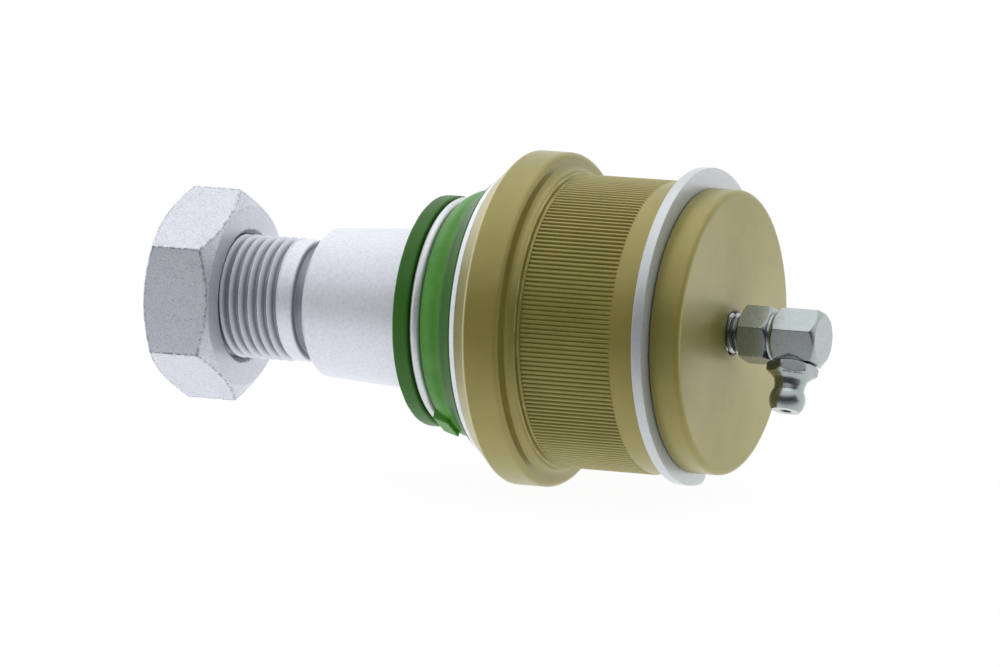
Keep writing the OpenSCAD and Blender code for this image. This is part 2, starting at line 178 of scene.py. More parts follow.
class BallJointHousing(PropertyGroup):
    front: station("Front face", "Where the closing ring's flange lies", low("housing").x)
    front_r: length("Front radius", "Outside of the front face", 28.6)
    flange_front: station("Flange front", "Stud side of the stop flange", -15.0)
    flange_r: length("Flange radius", "Outside of the stop flange", high("housing").z)
    seat: station("Flange seat", "Side that rests on the arm", mount_at("flange_seat"))
    fillet: length("Flange fillet", "Between the flange and the barrel", 1.4)
    land_r: length("Land radius", "At the foot of the fillet", 28.4)
    relief_r: length("Relief radius", "In the undercut before the knurl", 27.6)
    knurl_front: station("Knurl front", "Where the knurl starts", -5.2)
    knurl_r: length("Knurl radius", "Over the knurl's tips", 28.0)
    knurl_depth: length("Knurl depth", "Of the grooves between the teeth", 0.34)
    knurl_teeth: IntProperty(name="Knurl teeth", description="Number round the barrel", default=196)
    knurl_end: station("Knurl end", "Where it meets the pilot land", PILOT_MIDDLE - PILOT_LEN / 2)
    pilot_r: length("Pilot radius", "Of the smooth pilot land", mount_size("barrel"))
    groove_front: station("Groove front", "Wall of the snap ring's groove", PILOT_MIDDLE + PILOT_LEN / 2)
    groove_end: station("Groove end", "Its wall at the closed end",
                        2 * GROOVE_MIDDLE - PILOT_MIDDLE - PILOT_LEN / 2)
    groove_r: length("Groove radius", "At the bottom of that groove", 25.85)
    drum_r: length("Drum radius", "Of the closed end's drum", 27.1)
    face: station("Closed end", "Outer face", high("housing").x)
    floor: station("Floor", "Inner face of the closed end", high("disc_spring").x + 0.02)
    shoulder: length("Shoulder", "Length of the disc spring's pocket", 2.4)
    bore_r: length("Bore radius", "Around the races", 24.0)
    pocket_r: length("Pocket radius", "Around the disc spring", 21.0)
    port_r: length("Port radius", "Of the grease fitting's hole", 4.02)
    edge: length("Edge", "Radius of the broken edges", 0.3)


class BallJointStud(PropertyGroup):
    ball_r: length("Ball radius", "Of the ball", high("ball_stud").z)
    ball_flat: station("Ball flat", "At the bottom of the ball", high("ball_stud").x)
    neck_r: length("Neck radius", "Between the ball and the taper", 9.75)
    neck_round: length("Neck fillet", "Between the neck and the boot's seat", 4.0)
    lip_seat: station("Lip seat", "Front of the seat under the boot's lip", -30.2)
    taper_start: station("Taper start", "Large end", mount_at("stud_taper"))
    taper_r: length("Taper radius", "At the large end", mount_size("stud_taper"))
    taper_len: length("Taper length", "From end to end", mount_size("stud_taper", "length_mm"))
    taper_ratio: number("Taper", "Length for each unit of diameter", 8.0)
    relief_w: length("Relief width", "Of the groove behind the thread", 3.1)
    relief_r: length("Relief radius", "In that groove", 10.3)
    collar_w: length("Collar width", "Of the plain collar before the thread", 2.8)
    collar_r: length("Collar radius", "Of that collar", 11.8)
    crest_r: length("Crest radius", "Over the thread's crests", 11.95)
    pitch: length("Thread pitch", "Advance in one turn", 2.0)
    thread_h: length("Thread depth", "From crest to root", 1.25)
    end: station("Stud end", "Threaded end", low("ball_stud").x)
    centre_r: length("Centre radius", "Of the centre hole", 2.0)
    centre_depth: length("Centre depth", "Of the centre hole", 4.5)


class BallJointNut(PropertyGroup):
    front: station("Outer face", "At the stud's end", low("hex_nut").x)
    back: station("Inner face", "Towards the taper", high("hex_nut").x)
    flats: length("Across flats", "Width of the hexagon", 35.6)
    face_r: length("Face radius", "Of the turned face inside the bevel", 17.25)
    bore_r: length("Bore radius", "Inside the nut", 12.0)
    sink_r: length("Countersink radius", "At each face", 12.9)
    turn: angle("Turn", "Of the hexagon about the axis", -4)


class BallJointBoot(PropertyGroup):
    lip_front: station("Lip front", "Stud side of the sealing lip", low("dust_boot").x)
    lip_r: length("Lip radius", "Outside of the lip", 22.2)
    lip_w: length("Lip width", "Of the sealing lip", 3.1)
    seat_r: length("Seat radius", "Inside of the lip", 15.95)
    groove_w: length("Groove width", "Of the spring ring's groove", 2.5)
    groove_r: length("Groove radius", "At the bottom of that groove", 20.15)
    shoulder_r: length("Shoulder radius", "Behind that groove", 21.7)
    bulge: station("Bulge", "Where the bulge ends and the flare begins", -23.6)
    bulge_r: length("Bulge radius", "Where it ends", 24.0)
    flare_r: length("Flare radius", "Of the edge on the closing ring", 27.4)
    wall: length("Wall", "Thickness of the rubber", 2.1)
    back: station("Boot back", "Side that lies on the closing ring", low("closing_ring").x - 0.05)
    hook_r: length("Hook radius", "Where the foot passes the closing ring's hook", 21.4)
    foot_out_r: length("Foot outside", "Outside radius of the foot", 21.8)
    foot_in_r: length("Foot inside", "Inside radius, around the steel ring", 20.4)
    flap_r: length("Flap radius", "Inside of the flap before the steel ring", 19.65)
    foot_depth: length("Foot depth", "Reach into the closing ring", 3.4)
    lug_w: length("Lug width", "Of the lug moulded beside the ring", 6.4)
    lug_len: length("Lug length", "Along the axis", 3.4)
    lug_low_r: length("Lug start", "Height of its near end over the axis", 23.6)
    lug_high_r: length("Lug end", "Height of its far end over the axis", 24.6)
    lug_turn: angle("Lug turn", "Direction of the lug from the bottom", -34)
    wire_r: length("Wire radius", "Of the spring ring's wire", 0.95)
    edge: length("Edge", "Radius of the broken edges", 0.4)


class BallJointRings(PropertyGroup):
    closing_front: station("Closing ring front", "Face under the boot", low("closing_ring").x)
    closing_back: station("Closing ring back", "Face on the upper race", high("closing_ring").x)
    closing_bevel: length("Closing ring bevel", "Around its front face", 0.8)
    back_in_r: length("Back opening", "Radius at the closing ring's back", 16.85)
    front_in_r: length("Front opening", "Radius at its front", 18.7)
    hook_r: length("Hook radius", "Inside the hook over the boot's foot", 21.45)
    hook_len: length("Hook length", "Along the axis", 0.7)
    pocket_out_r: length("Pocket outside", "Outside radius of the pocket for the foot", 21.85)
    pocket_in_r: length("Pocket inside", "Inside radius of that pocket", 19.6)
    pocket_depth: length("Pocket depth", "From the front face", 3.4)
    play: length("Play", "Room drawn between pressed pieces", 0.02)
    snap_front: station("Snap ring front", "Face towards the knurl", low("snap_ring").x)
    snap_back: station("Snap ring back", "Face towards the closed end", high("snap_ring").x)
    snap_in_r: length("Snap ring bore", "Inside radius", 25.87)
    snap_out_r: length("Snap ring radius", "Outside radius", 30.2)
    snap_shift: length("Snap ring shift", "How far its outside is off centre", 0.8)
    snap_gap: angle("Snap ring gap", "Angle between its ends", 28)
    snap_round: angle("Snap ring rounding", "Length of the corners at its ends", 6)
    snap_drop: length("Snap ring drop", "Depth of those corners", 2.0)
    snap_turn: angle("Snap ring turn", "Direction of the gap from the bottom", 17)
    edge: length("Edge", "Radius of the broken edges", 0.2)


class BallJointFitting(PropertyGroup):
    start: station("Thread end", "Inner end of the elbow", low("grease_elbow").x)
    shoulder: station("Shoulder", "Start of the wrench hexagon", 29.4)
    wrench_len: length("Wrench length", "Of the wrench hexagon", 6.0)
    waist_len: length("Waist length", "Of the turned waist", 0.8)
    end: station("Elbow end", "End face of its head", high("grease_elbow").x)
    thread_r: length("Thread radius", "Over the crests", 3.85)
    pitch: length("Thread pitch", "Advance in one turn", 1.0)
    thread_h: length("Thread depth", "From crest to root", 0.6)
    flats: length("Across flats", "Width of the elbow's hexagons", 10.0)
    face_r: length("Face radius", "Of the turned faces beside the waist", 4.7)
    end_face_r: length("End face radius", "Of the elbow's end face", 4.5)
    waist_r: length("Waist radius", "Of the turned waist", 4.55)
    duct_r: length("Duct radius", "Of the grease duct", 1.8)
    turn: angle("Turn", "Of the elbow about the axis", 6)
    nipple: station("Nipple axis", "Where it crosses the elbow's axis", mount_at("grease_head"))
    nipple_flats: length("Nipple flats", "Width of the nipple's hexagon", 8.5)
    nipple_hex: length("Nipple hexagon", "Thickness of that hexagon", 2.5)
    nipple_neck_r: length("Nipple neck", "Radius under the ball head", 2.9)
    nipple_head_r: length("Nipple head", "Radius of the ball head", mount_size("grease_head"))
    nipple_reach: length("Nipple reach", "From the hexagon to the middle of the head", 4.6)
    nipple_tip: number("Nipple tip", "Height of the flat tip in head radii", 0.64)
    nipple_turn: angle("Nipple turn", "About its own axis", -22.5)
    spring_wire: length("Spring wire", "Radius of the valve spring's wire", 0.15)
    spring_r: length("Spring radius", "Middle radius of its coil", 0.95)
    spring_turns: IntProperty(name="Spring turns", description="Turns of its coil", default=6)
    valve_travel: length("Valve travel", "How far the check ball goes in", 1.0)
    edge: length("Edge", "Radius of the broken edges", 0.07)


class BallJointFinish(PropertyGroup):
    olive: colour("Olive coating", "Passivated coating of the housing", 140, 131, 64)
    # Deep olive: a random darker tone of the coating, and also the painted shade in the knurl's roots
    olive_deep_and_shade: colour("Deep olive", "Darker tone in the coating", 118, 109, 44)
    # Worn olive: the thin coating on rubbed edges, and also a painted highlight along the flange's stud-side
    # corner
    olive_worn_and_highlight: colour("Worn olive", "Edges where the coating is thin", 196, 188, 146)
    flake: colour("Zinc flake", "Coating of the stud", 217, 219, 228)
    flake_dull: colour("Dull flake", "Duller tone of the coatings", 188, 192, 203)
    nut_flake: colour("Nut flake", "Coating of the nut", 206, 209, 218)
    # Dark flake: real specks and rubbed edges, and also the painted shade in the stud thread's roots and
    # relief groove
    flake_dark_and_shade: colour("Dark flake", "Thread roots, specks and rubbed edges", 84, 90, 104)
    rubber: colour("Rubber", "Green of the boot", 58, 122, 32)
    rubber_pale: colour("Pale rubber", "Paler bloom on the rubber", 92, 150, 62)
    # Dark rubber: the darker lip, and the painted shade on the flare by the closing ring
    rubber_dark_and_shade: colour("Dark rubber", "Darker lip, and painted shade on the flare", 30, 72, 14)
    zinc: colour("Bright zinc", "Closing ring and spring ring", 208, 211, 215)
    snap_zinc: colour("Snap ring zinc", "Greyer zinc of the snap ring", 190, 195, 197)
    zinc_dull: colour("Dull zinc", "Duller patches of the zinc", 172, 176, 184)
    fitting: colour("Fitting zinc", "Zinc of the grease fitting", 150, 158, 157)
    bearing: colour("Bearing steel", "Ground steel of the races", 150, 152, 156)
    spring: colour("Spring steel", "Oiled steel of the springs", 92, 95, 102)


class BallJointStage(PropertyGroup):
    azimuth: angle("Azimuth", "Camera's angle round the joint", 24)
    elevation: angle("Elevation", "Camera's angle above the horizon", 10)
    distance: number("Distance", "From the camera to the joint", 1.88, unit="LENGTH")
    aim_right: station("Aim right", "Camera's aim, right of the flange's front", -5.9)
    aim_up: station("Aim up", "Camera's aim, above the flange's front", -3.07)
    focal_pixels: number("Focal length", "In pixels of the picture", 9849.0)
    floor_size: number("Floor size", "Width of the pale floor", 8.0, unit="LENGTH")
    floor_white: colour("Floor", "Colour of the floor", 245, 245, 245)
    tent: number("Tent", "Brightness of the tent's pale walls", 1.2)
    card: number("Card", "Brightness of the dark card on the camera's side", 0.06)
    card_edge: number("Card edge", "Where it begins, as a cosine from its middle", 0.12)
    card_middle: number("Card middle", "Where it is darkest, as a cosine", 0.65)
    card_top: number("Card top", "Height of its upper edge, as a sine", 0.55)
    card_soft: number("Card softness", "Half the height in which that edge fades", 0.2)
    floor_glow: number("Floor glow", "Share of its own light that the floor gives", 0.8)
    floor_clear: number("Floor clear", "The same share as the camera sees it", 0.96)
    floor_light: number("Floor light", "Strength of that light under the joint", 1.3)
    floor_dark: number("Floor dark", "Its strength before the joint", 0.3)
    floor_near: number("Floor near", "Where it begins to fall off", 0.015, unit="LENGTH")
    floor_far: number("Floor far", "Where it is lowest", 0.12, unit="LENGTH")
    top_power: number("Top lamp", "Power of the lamp above", 0.9, unit="POWER")
    side_power: number("Side lamp", "Power of the lamp behind the stud", 0.5, unit="POWER")


# Outlines and turning

def outline(corners, closed=False, steps=5):
    """Points through corners of (station, radius, rounding); a corner with a rounding becomes an arc."""
    points = []
    for index, corner in enumerate(corners):
        here = Vector(corner[:2])
        end = not closed and index in (0, len(corners) - 1)
        if len(corner) < 3 or end:
            points.append(here)
            continue
        rounding = corner[2]
        before = (Vector(corners[index - 1][:2]) - here).normalized()
        after = (Vector(corners[(index + 1) % len(corners)][:2]) - here).normalized()
        half = before.angle(after) / 2
        middle = here + (before + after).normalized() * (rounding / math.sin(half))
        first = here + before * (rounding / math.tan(half)) - middle
        last = here + after * (rounding / math.tan(half)) - middle
        sweep_angle = math.atan2(first.x * last.y - first.y * last.x, first.dot(last))
        for step in range(steps + 1):
            points.append(middle + Matrix.Rotation(sweep_angle * step / steps, 2) @ first)
    return points


def arc(radius, first, last, steps, middle=0.0):
    """Corners on a circle about a point of the axis, between two angles from +X"""
    angles = [first + (last - first) * step / steps for step in range(steps + 1)]
    return [(middle + radius * math.cos(turned), radius * math.sin(turned)) for turned in angles]


def chain(bm, points, closed=False):
    """Vertices and edges through points of (station, radius), in the plane above the axis"""
    verts = [bm.verts.new((x, 0.0, r)) for x, r in points]
    edges = [bm.edges.new(pair) for pair in zip(verts, verts[1:])]
    if closed:
        edges.append(bm.edges.new((verts[-1], verts[0])))
    return verts + edges


def wire_circle(bm, wire_r, sides, x, r):
    """The section of a wire, in the plane above the axis"""
    verts = bmesh.ops.create_circle(bm, segments=sides, radius=wire_r)["verts"]
    stand = Matrix.Translation((x, 0, r)) @ Matrix.Rotation(math.radians(90), 4, "X")
    bmesh.ops.transform(bm, matrix=stand, verts=verts)
    return bm.verts[:] + bm.edges[:]


def sweep(bm, section, steps, turned=FULL_TURN, advance=0.0, merge=False):
    """Carries a section round the axis, and along it by the advance in each step"""
    bmesh.ops.spin(bm, geom=section, cent=(0, 0, 0), axis=AXIS, dvec=AXIS * advance, angle=turned,
                   steps=steps, use_merge=merge)


def spin(bm, points, segments, closed=False):
    """Turns an outline once round the joint's axis"""
    sweep(bm, chain(bm, points, closed), segments, merge=True)
    bmesh.ops.remove_doubles(bm, verts=bm.verts[:], dist=WELD)


def thread(bm, crest_r, depth, pitch, start, end, segments, phase=0.0):
    """A right-hand screw surface between two stations, carried round and along the axis and cut square"""
    turns = math.ceil((end - start) / pitch) + 2
    points = [(start + (share + phase - 1.5) * pitch, crest_r - depth * (1 - height))
              for share, height in THREAD_SECTION]
    sweep(bm, chain(bm, points), segments * turns, FULL_TURN * turns, pitch / segments)
    bmesh.ops.remove_doubles(bm, verts=bm.verts[:], dist=WELD)
    for at, outwards in ((start, -AXIS), (end, AXIS)):
        bmesh.ops.bisect_plane(bm, geom=bm.verts[:] + bm.edges[:] + bm.faces[:], dist=WELD,
                               plane_co=AXIS * at, plane_no=outwards, clear_outer=True)


def radius_of(vert):
    """The distance of a vertex from the joint's axis"""
    return math.hypot(vert.co.y, vert.co.z)


def from_top(vert):
    """The direction of a vertex from the axis, as an angle from the top"""
    return math.atan2(vert.co.y, vert.co.z)


def set_radius(vert, radius):
    """Moves a vertex to a radius about the joint's axis"""
    now = radius_of(vert)
    vert.co.y *= radius / now
    vert.co.z *= radius / now


def turn(bm, turned, verts=None):
    """Turns vertices about the joint's axis"""
    bmesh.ops.rotate(bm, verts=verts or bm.verts[:], cent=(0, 0, 0), matrix=Matrix.Rotation(turned, 3, "X"))


def join_rings(bm, *places):
    """Closes the gap between the open edges at two stations of the axis"""
    edges = [edge for at in places for edge in bm.edges
             if edge.is_boundary and all(abs(vert.co.x - at) < 5 * WELD for vert in edge.verts)]
    if not edges:
        raise RuntimeError("there is no open edge to join")
    bmesh.ops.bridge_loops(bm, edges=edges)


def close_ends(bm, sides):
    """Closes the open ends of a swept section"""
    bmesh.ops.holes_fill(bm, edges=[edge for edge in bm.edges if edge.is_boundary], sides=sides)


def to_hexagon(bm, flats, front, back):
    """Moves what stands out of the turned faces between two stations out to a hexagon with a corner at the
    top. Each end is (station, radius of its face, length of the bevel per height)."""
    middle = (front[0] + back[0]) / 2
    for vert in bm.verts:
        end, face_r, slope = front if vert.co.x < middle else back
        if radius_of(vert) < face_r + 10 * WELD or not front[0] - WELD <= vert.co.x <= back[0] + WELD:
            continue
        from_flat = from_top(vert) % SIXTH - SIXTH / 2
        reach = flats / 2 / math.cos(from_flat)
        set_radius(vert, reach)
        bevel = (reach - face_r) * slope
        vert.co.x = end + bevel if vert.co.x < middle else end - bevel


def bevel_edges(bm, edges, width, segments):
    """Rounds edges"""
    bmesh.ops.bevel(bm, geom=edges, offset=width, offset_type="OFFSET", affect="EDGES", segments=segments,
                    profile=0.5, material=-1, clamp_overlap=True)


def bevel_sharp(bm, degrees, width, front=-math.inf, back=math.inf, over=0.0):
    """Breaks every edge that is sharper than an angle, between two stations and outside a radius"""
    bevel_edges(bm, [edge for edge in bm.edges
                     if edge.is_manifold and edge.calc_face_angle(0.0) > math.radians(degrees)
                     and all(front - WELD <= vert.co.x <= back + WELD and radius_of(vert) > over
                             for vert in edge.verts)], width, 2)


def finish(bm, name, material, smooth_under=35.0):
    """Makes an object of a closed mesh, with its place in the mesh and smooth shading between its edges"""
    bmesh.ops.remove_doubles(bm, verts=bm.verts[:], dist=WELD)
    bmesh.ops.recalc_face_normals(bm, faces=bm.faces[:])
    mesh = bpy.data.meshes.new(name)
    bm.to_mesh(mesh)
    bm.free()
    mesh.polygons.foreach_set("use_smooth", [True] * len(mesh.polygons))
    mesh.set_sharp_from_angle(angle=math.radians(smooth_under))
    mesh.materials.append(bpy.data.materials[material])
    piece = bpy.data.objects.new(name, mesh)
    bpy.context.scene.collection.objects.link(piece)
    weighted = piece.modifiers.new("Flat faces stay flat", "WEIGHTED_NORMAL")
    weighted.keep_sharp = True
    return piece


def show_as(piece, body, slot, *nodes):
    """The piece stands for the solids and moves with their body. The slot is not used."""
    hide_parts(*nodes)
    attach(piece, body)


# Shader nodes

def add(tree, kind, values=None, **settings):
    """Adds a shader node, with its settings, and with values or links for its inputs"""
    node = tree.nodes.new("ShaderNode" + kind)
    node.location = (200 * len(tree.nodes), 0)
    for key, value in settings.items():
        setattr(node, key, value)
    for key, value in (values or {}).items():
        if isinstance(value, bpy.types.NodeSocket):
            tree.links.new(value, node.inputs[key])
        else:
            node.inputs[key].default_value = value
    return node


def calc(tree, operation, *values):
    """The result of a Math node"""
    return add(tree, "Math", dict(enumerate(values)), operation=operation).outputs[0]


def times(tree, first, second):
    """The product of two values"""
    return calc(tree, "MULTIPLY", first, second)


def blend_colour(tree, share, first, second):
    """A colour between two colours"""
    return add(tree, "Mix", {0: share, 6: first, 7: second}, data_type="RGBA").outputs[2]


def spread(tree, value, low_end, high_end, low_out=0.0, high_out=1.0):
    """Maps a value smoothly from one range to another"""
    return add(tree, "MapRange", {"Value": value, "From Min": low_end, "From Max": high_end,
                                  "To Min": low_out, "To Max": high_out},
               interpolation_type="SMOOTHSTEP").outputs[0]


def point(tree):
    """The place in the joint's own frame"""
    return add(tree, "TexCoord").outputs["Object"]


def cloud(tree, scale, detail, roughness=0.5):
    """A noise through space"""
    return add(tree, "TexNoise", {"Vector": point(tree), "Scale": scale, "Detail": detail,
                                  "Roughness": roughness}).outputs[0]


def radius_and_station(tree):
    """The distance from the joint's axis, and the place along it"""
    where = add(tree, "SeparateXYZ", {0: point(tree)}).outputs
    squares = [times(tree, where[axis], where[axis]) for axis in ("Y", "Z")]
    return calc(tree, "SQRT", calc(tree, "ADD", *squares)), where["X"]


# Shader groups

def group(name, output, kind, **inputs):
    """An empty shader group with one output, and its inputs; an underscore in their names is a space. Returns
    its tree, what its inputs give and the function that sets its output."""
    tree = bpy.data.node_groups.new(name, "ShaderNodeTree")
    for key, default in inputs.items():
        socket = "NodeSocketColor" if isinstance(default, tuple) else "NodeSocketFloat"
        made = tree.interface.new_socket(name=key.replace("_", " "), in_out="INPUT", socket_type=socket)
        made.default_value = default
    tree.interface.new_socket(name=output, in_out="OUTPUT", socket_type="NodeSocket" + kind)
    given = tree.nodes.new("NodeGroupInput").outputs
    result = tree.nodes.new("NodeGroupOutput").inputs[output]
    return tree, given, lambda value: tree.links.new(value, result)


def place(tree, name, **values):
    """Puts a shader group into a material, with its values, and returns its output"""
    given = {key.replace("_", " "): value for key, value in values.items()}
    return add(tree, "Group", given, node_tree=bpy.data.node_groups[name]).outputs[0]


def make_mottling():
    """Soft patches of a second colour"""
    tree, given, give = group("Mottling", "Colour", "Color", Colour=(1, 1, 1, 1),
                              Second_colour=(0.5, 0.5, 0.5, 1), Scale=200.0, Amount=0.5)
    coarse = cloud(tree, given["Scale"], 5.0, 0.62)
    share = times(tree, spread(tree, coarse, low_end=0.35, high_end=0.68), given["Amount"])
    give(blend_colour(tree, share, given["Colour"], given["Second colour"]))


def make_grain():
    """The fine bumps of a coating or of moulded rubber"""
    tree, given, give = group("Grain", "Height", "Float", Scale=4000.0)
    give(cloud(tree, given["Scale"], 3.0, 0.7))


def make_turning():
    """The rings that a turning tool leaves round the joint's axis"""
    tree, given, give = group("Turning marks", "Height", "Float", Rings_per_metre=3000.0)
    along = times(tree, calc(tree, "ADD", *radius_and_station(tree)), given["Rings per metre"])
    give(add(tree, "TexNoise", {"W": along, "Scale": 1.0, "Detail": 2.0, "Roughness": 0.6},
             noise_dimensions="1D").outputs[0])


def make_speckle():
    """Small scattered spots"""
    tree, given, give = group("Speckle", "Mask", "Float", Scale=1500.0, Amount=0.4)
    fine = cloud(tree, given["Scale"], 2.0, 0.8)
    broad = cloud(tree, times(tree, given["Scale"], 0.12), 2.0)
    patchy = calc(tree, "ADD", times(tree, given["Amount"], 0.3), times(tree, broad, 0.12))
    limit = calc(tree, "SUBTRACT", 0.72, patchy)
    give(spread(tree, calc(tree, "SUBTRACT", fine, limit), 0.0, 0.06))


def make_edge_wear():
    """Broken lines along the edges, where a coating is rubbed or thin"""
    tree, given, give = group("Edge wear", "Mask", "Float", Width=0.0004, Breakup=900.0, Amount=1.0)
    rounded = add(tree, "Bevel", {"Radius": given["Width"]}, samples=6).outputs[0]
    straight = add(tree, "NewGeometry").outputs["Normal"]
    alike = add(tree, "VectorMath", {0: rounded, 1: straight}, operation="DOT_PRODUCT").outputs["Value"]
    edge = spread(tree, calc(tree, "SUBTRACT", 1.0, alike), low_end=0.002, high_end=0.025)
    broken = spread(tree, cloud(tree, given["Breakup"], 3.0, 0.7), low_end=0.46, high_end=0.56)
    give(times(tree, times(tree, edge, broken), given["Amount"]))


def make_groove_shade():
    """Whatever is turned below an outer radius, deepest at the inner radius"""
    tree, given, give = group("Groove shade", "Mask", "Float", Inner_radius=0.01, Outer_radius=0.012)
    radius = radius_and_station(tree)[0]
    give(spread(tree, radius, given["Inner radius"], given["Outer radius"], 1.0, 0.0))


def make_band():
    """A band round the axis between two stations, with soft sides"""
    tree, given, give = group("Band", "Mask", "Float", From=0.0, To=0.001, Softness=0.0002)
    along = add(tree, "SeparateXYZ", {0: point(tree)}).outputs["X"]
    rise = spread(tree, along, calc(tree, "SUBTRACT", given["From"], given["Softness"]), given["From"])
    fall = spread(tree, along, given["To"], calc(tree, "ADD", given["To"], given["Softness"]), 1.0, 0.0)
    give(times(tree, rise, fall))


# Finishes

def rgba(value):
    """A colour as a shader takes it"""
    return (*value, 1.0)


def new_material(name):
    """An empty material's tree"""
    material = bpy.data.materials.new(name)
    material.use_nodes = True
    material.node_tree.nodes.clear()
    return material.node_tree


def mottled(tree, first, second, scale, amount):
    """A colour with soft patches of a second one"""
    return place(tree, "Mottling", Colour=rgba(first), Second_colour=rgba(second), Scale=scale, Amount=amount)


def band(tree, start, end, softness):
    """A mask for what lies between two stations, with its softness in millimetres"""
    return place(tree, "Band", From=start, To=end, Softness=softness * MM)


def worn(tree, width, breakup, amount):
    """A mask for rubbed edges, with their width in millimetres"""
    return place(tree, "Edge wear", Width=width * MM, Breakup=breakup, Amount=amount)


def surface(tree, colour_value, grain, rough, bump, heights=None, **constants):
    """The shader of a finish, whose gloss and bumps follow a grain of a scale. The height of the bumps is in
    millimetres, and the constants go on the shader's own sockets."""
    fine = place(tree, "Grain", Scale=grain)
    bumps = add(tree, "Bump", {"Height": heights(fine) if heights else fine, "Distance": bump * MM,
                               "Strength": 1.0})
    shader = add(tree, "BsdfPrincipled", {"Base Color": colour_value, "Normal": bumps.outputs[0],
                                          "Roughness": spread(tree, fine, *GRAIN_RANGE, *rough)})
    for key, value in constants.items():
        shader.inputs[key.replace("_", " ")].default_value = value
    add(tree, "OutputMaterial", {"Surface": shader.outputs[0]})
    return shader


def olive_coating(tints, shell):
    """Passivated zinc on the forged and turned housing: satin, faintly mottled, thin and pale at the edges,
    with painted shade in the knurl's roots and a painted highlight along the flange's stud-side corner
    """
    tree = new_material("Olive coating")
    base = mottled(tree, tints.olive, tints.olive_deep_and_shade, scale=110.0, amount=0.3)
    knurl = band(tree, shell.knurl_front, shell.knurl_end, 0.3)
    # Painted shade: the knurl's roots are darkened towards the deep olive, where shade falls between the
    # teeth
    roots = place(tree, "Groove shade", Inner_radius=shell.knurl_r - shell.knurl_depth,
                  Outer_radius=shell.knurl_r - 0.2 * shell.knurl_depth)
    root_shade, corner_highlight, marked, grained = 0.15, 0.8, 0.6, 0.5
    base = blend_colour(tree, times(tree, times(tree, knurl, roots), root_shade), base, rgba(tints.olive_deep_and_shade))
    cone = band(tree, shell.front - MM, shell.flange_front - 0.4 * MM, 0.2)
    bare = calc(tree, "SUBTRACT", 1.0, calc(tree, "MAXIMUM", knurl, cone))
    wear = times(tree, worn(tree, width=0.4, breakup=150.0, amount=0.5), bare)
    # Painted highlight: a pale line of worn olive along the flange's stud-side corner
    corner = band(tree, shell.flange_front - 0.05 * MM, shell.flange_front + 0.2 * MM, 0.15)
    base = blend_colour(tree, calc(tree, "MAXIMUM", wear, times(tree, corner, corner_highlight)), base,
                        rgba(tints.olive_worn_and_highlight))
    marks = place(tree, "Turning marks", Rings_per_metre=3500.0)

    def turned(grain):
        return calc(tree, "ADD", times(tree, marks, marked), times(tree, grain, grained))

    shader = surface(tree, base, grain=5000.0, rough=(0.3, 0.42), bump=0.006, heights=turned, Metallic=0.4,
                     Anisotropic=0.75, Coat_Weight=0.35, Coat_Roughness=0.3)
    tangent = add(tree, "Tangent", direction_type="RADIAL", axis="X")
    tree.links.new(tangent.outputs[0], shader.inputs["Tangent"])


def stud_flake(tints, stud):
    """Matt zinc flake on the stud, with painted shade in the thread's roots and in the relief groove"""
    tree = new_material("Zinc flake")
    base = mottled(tree, tints.flake, tints.flake_dull, scale=1500.0, amount=0.4)
    spots = place(tree, "Speckle", Scale=4200.0, Amount=0.1)
    # Painted shade: the thread's roots and the relief groove are darkened towards the dark flake
    roots = place(tree, "Groove shade", Inner_radius=stud.crest_r - 0.9 * stud.thread_h,
                  Outer_radius=stud.crest_r - 0.15 * stud.thread_h)
    screwed = band(tree, stud.end + MM, stud.taper_start - stud.taper_len, 0.5)
    in_spots, root_shade = 0.3, 0.65
    dark = calc(tree, "MAXIMUM", times(tree, spots, in_spots),
                times(tree, times(tree, roots, screwed), root_shade))
    base = blend_colour(tree, dark, base, rgba(tints.flake_dark_and_shade))
    surface(tree, base, grain=4500.0, rough=(0.4, 0.54), bump=0.01, Metallic=0.45)


def nut_flake(tints):
    """Zinc flake on the nut, grained where the steel shows and rubbed dark along the edges"""
    tree = new_material("Nut flake")
    base = mottled(tree, tints.nut_flake, tints.flake_dull, scale=3200.0, amount=0.5)
    spots = place(tree, "Speckle", Scale=4200.0, Amount=0.42)
    rubbed = worn(tree, width=0.8, breakup=1500.0, amount=1.0)
    in_spots, chip_depth = 0.4, 0.4
    dark = calc(tree, "MAXIMUM", times(tree, spots, in_spots), rubbed)
    base = blend_colour(tree, dark, base, rgba(tints.flake_dark_and_shade))

    def chipped(grain):
        return calc(tree, "SUBTRACT", grain, times(tree, dark, chip_depth))

    surface(tree, base, grain=3000.0, rough=(0.34, 0.5), bump=0.045, heights=chipped, Metallic=0.6)


def zinc(name, first, tints, mottling, wear, **look):
    """Zinc, faintly dappled and rubbed along the edges; mottling is (scale, amount) and wear is (width,
    breakup, amount)"""
    tree = new_material(name)
    base = mottled(tree, first, tints.zinc_dull, *mottling)
    base = blend_colour(tree, worn(tree, *wear), base, rgba(tints.spring))
    surface(tree, base, **look)


def boot_rubber(tints, boot):
    """Green moulded rubber with a slight bloom, darker on the lip, and with painted shade on the flare by the
    closing ring
    """
    tree = new_material("Boot rubber")
    base = mottled(tree, tints.rubber, tints.rubber_pale, scale=260.0, amount=0.35)
    # Painted shade on the flare by the closing ring; the lip is simply darker
    flare = band(tree, boot.bulge + 0.8 * MM, boot.back, 1.6)
    lip = band(tree, boot.lip_front, boot.lip_front + boot.lip_w, 0.4)
    flare_shade, on_lip = 0.75, 0.65
    dark = calc(tree, "MAXIMUM", times(tree, flare, flare_shade), times(tree, lip, on_lip))
    base = blend_colour(tree, dark, base, rgba(tints.rubber_dark_and_shade))
    surface(tree, base, grain=2200.0, rough=(0.38, 0.5), bump=0.01, Specular_IOR_Level=0.24)


def plain_steel(name, first, rough, tints):
    """Steel of the inner pieces, ground or oiled"""
    tree = new_material(name)
    base = mottled(tree, first, tints.spring, scale=500.0, amount=0.3)
    surface(tree, base, grain=4000.0, rough=rough, bump=0.004, Metallic=1.0)


# Operators

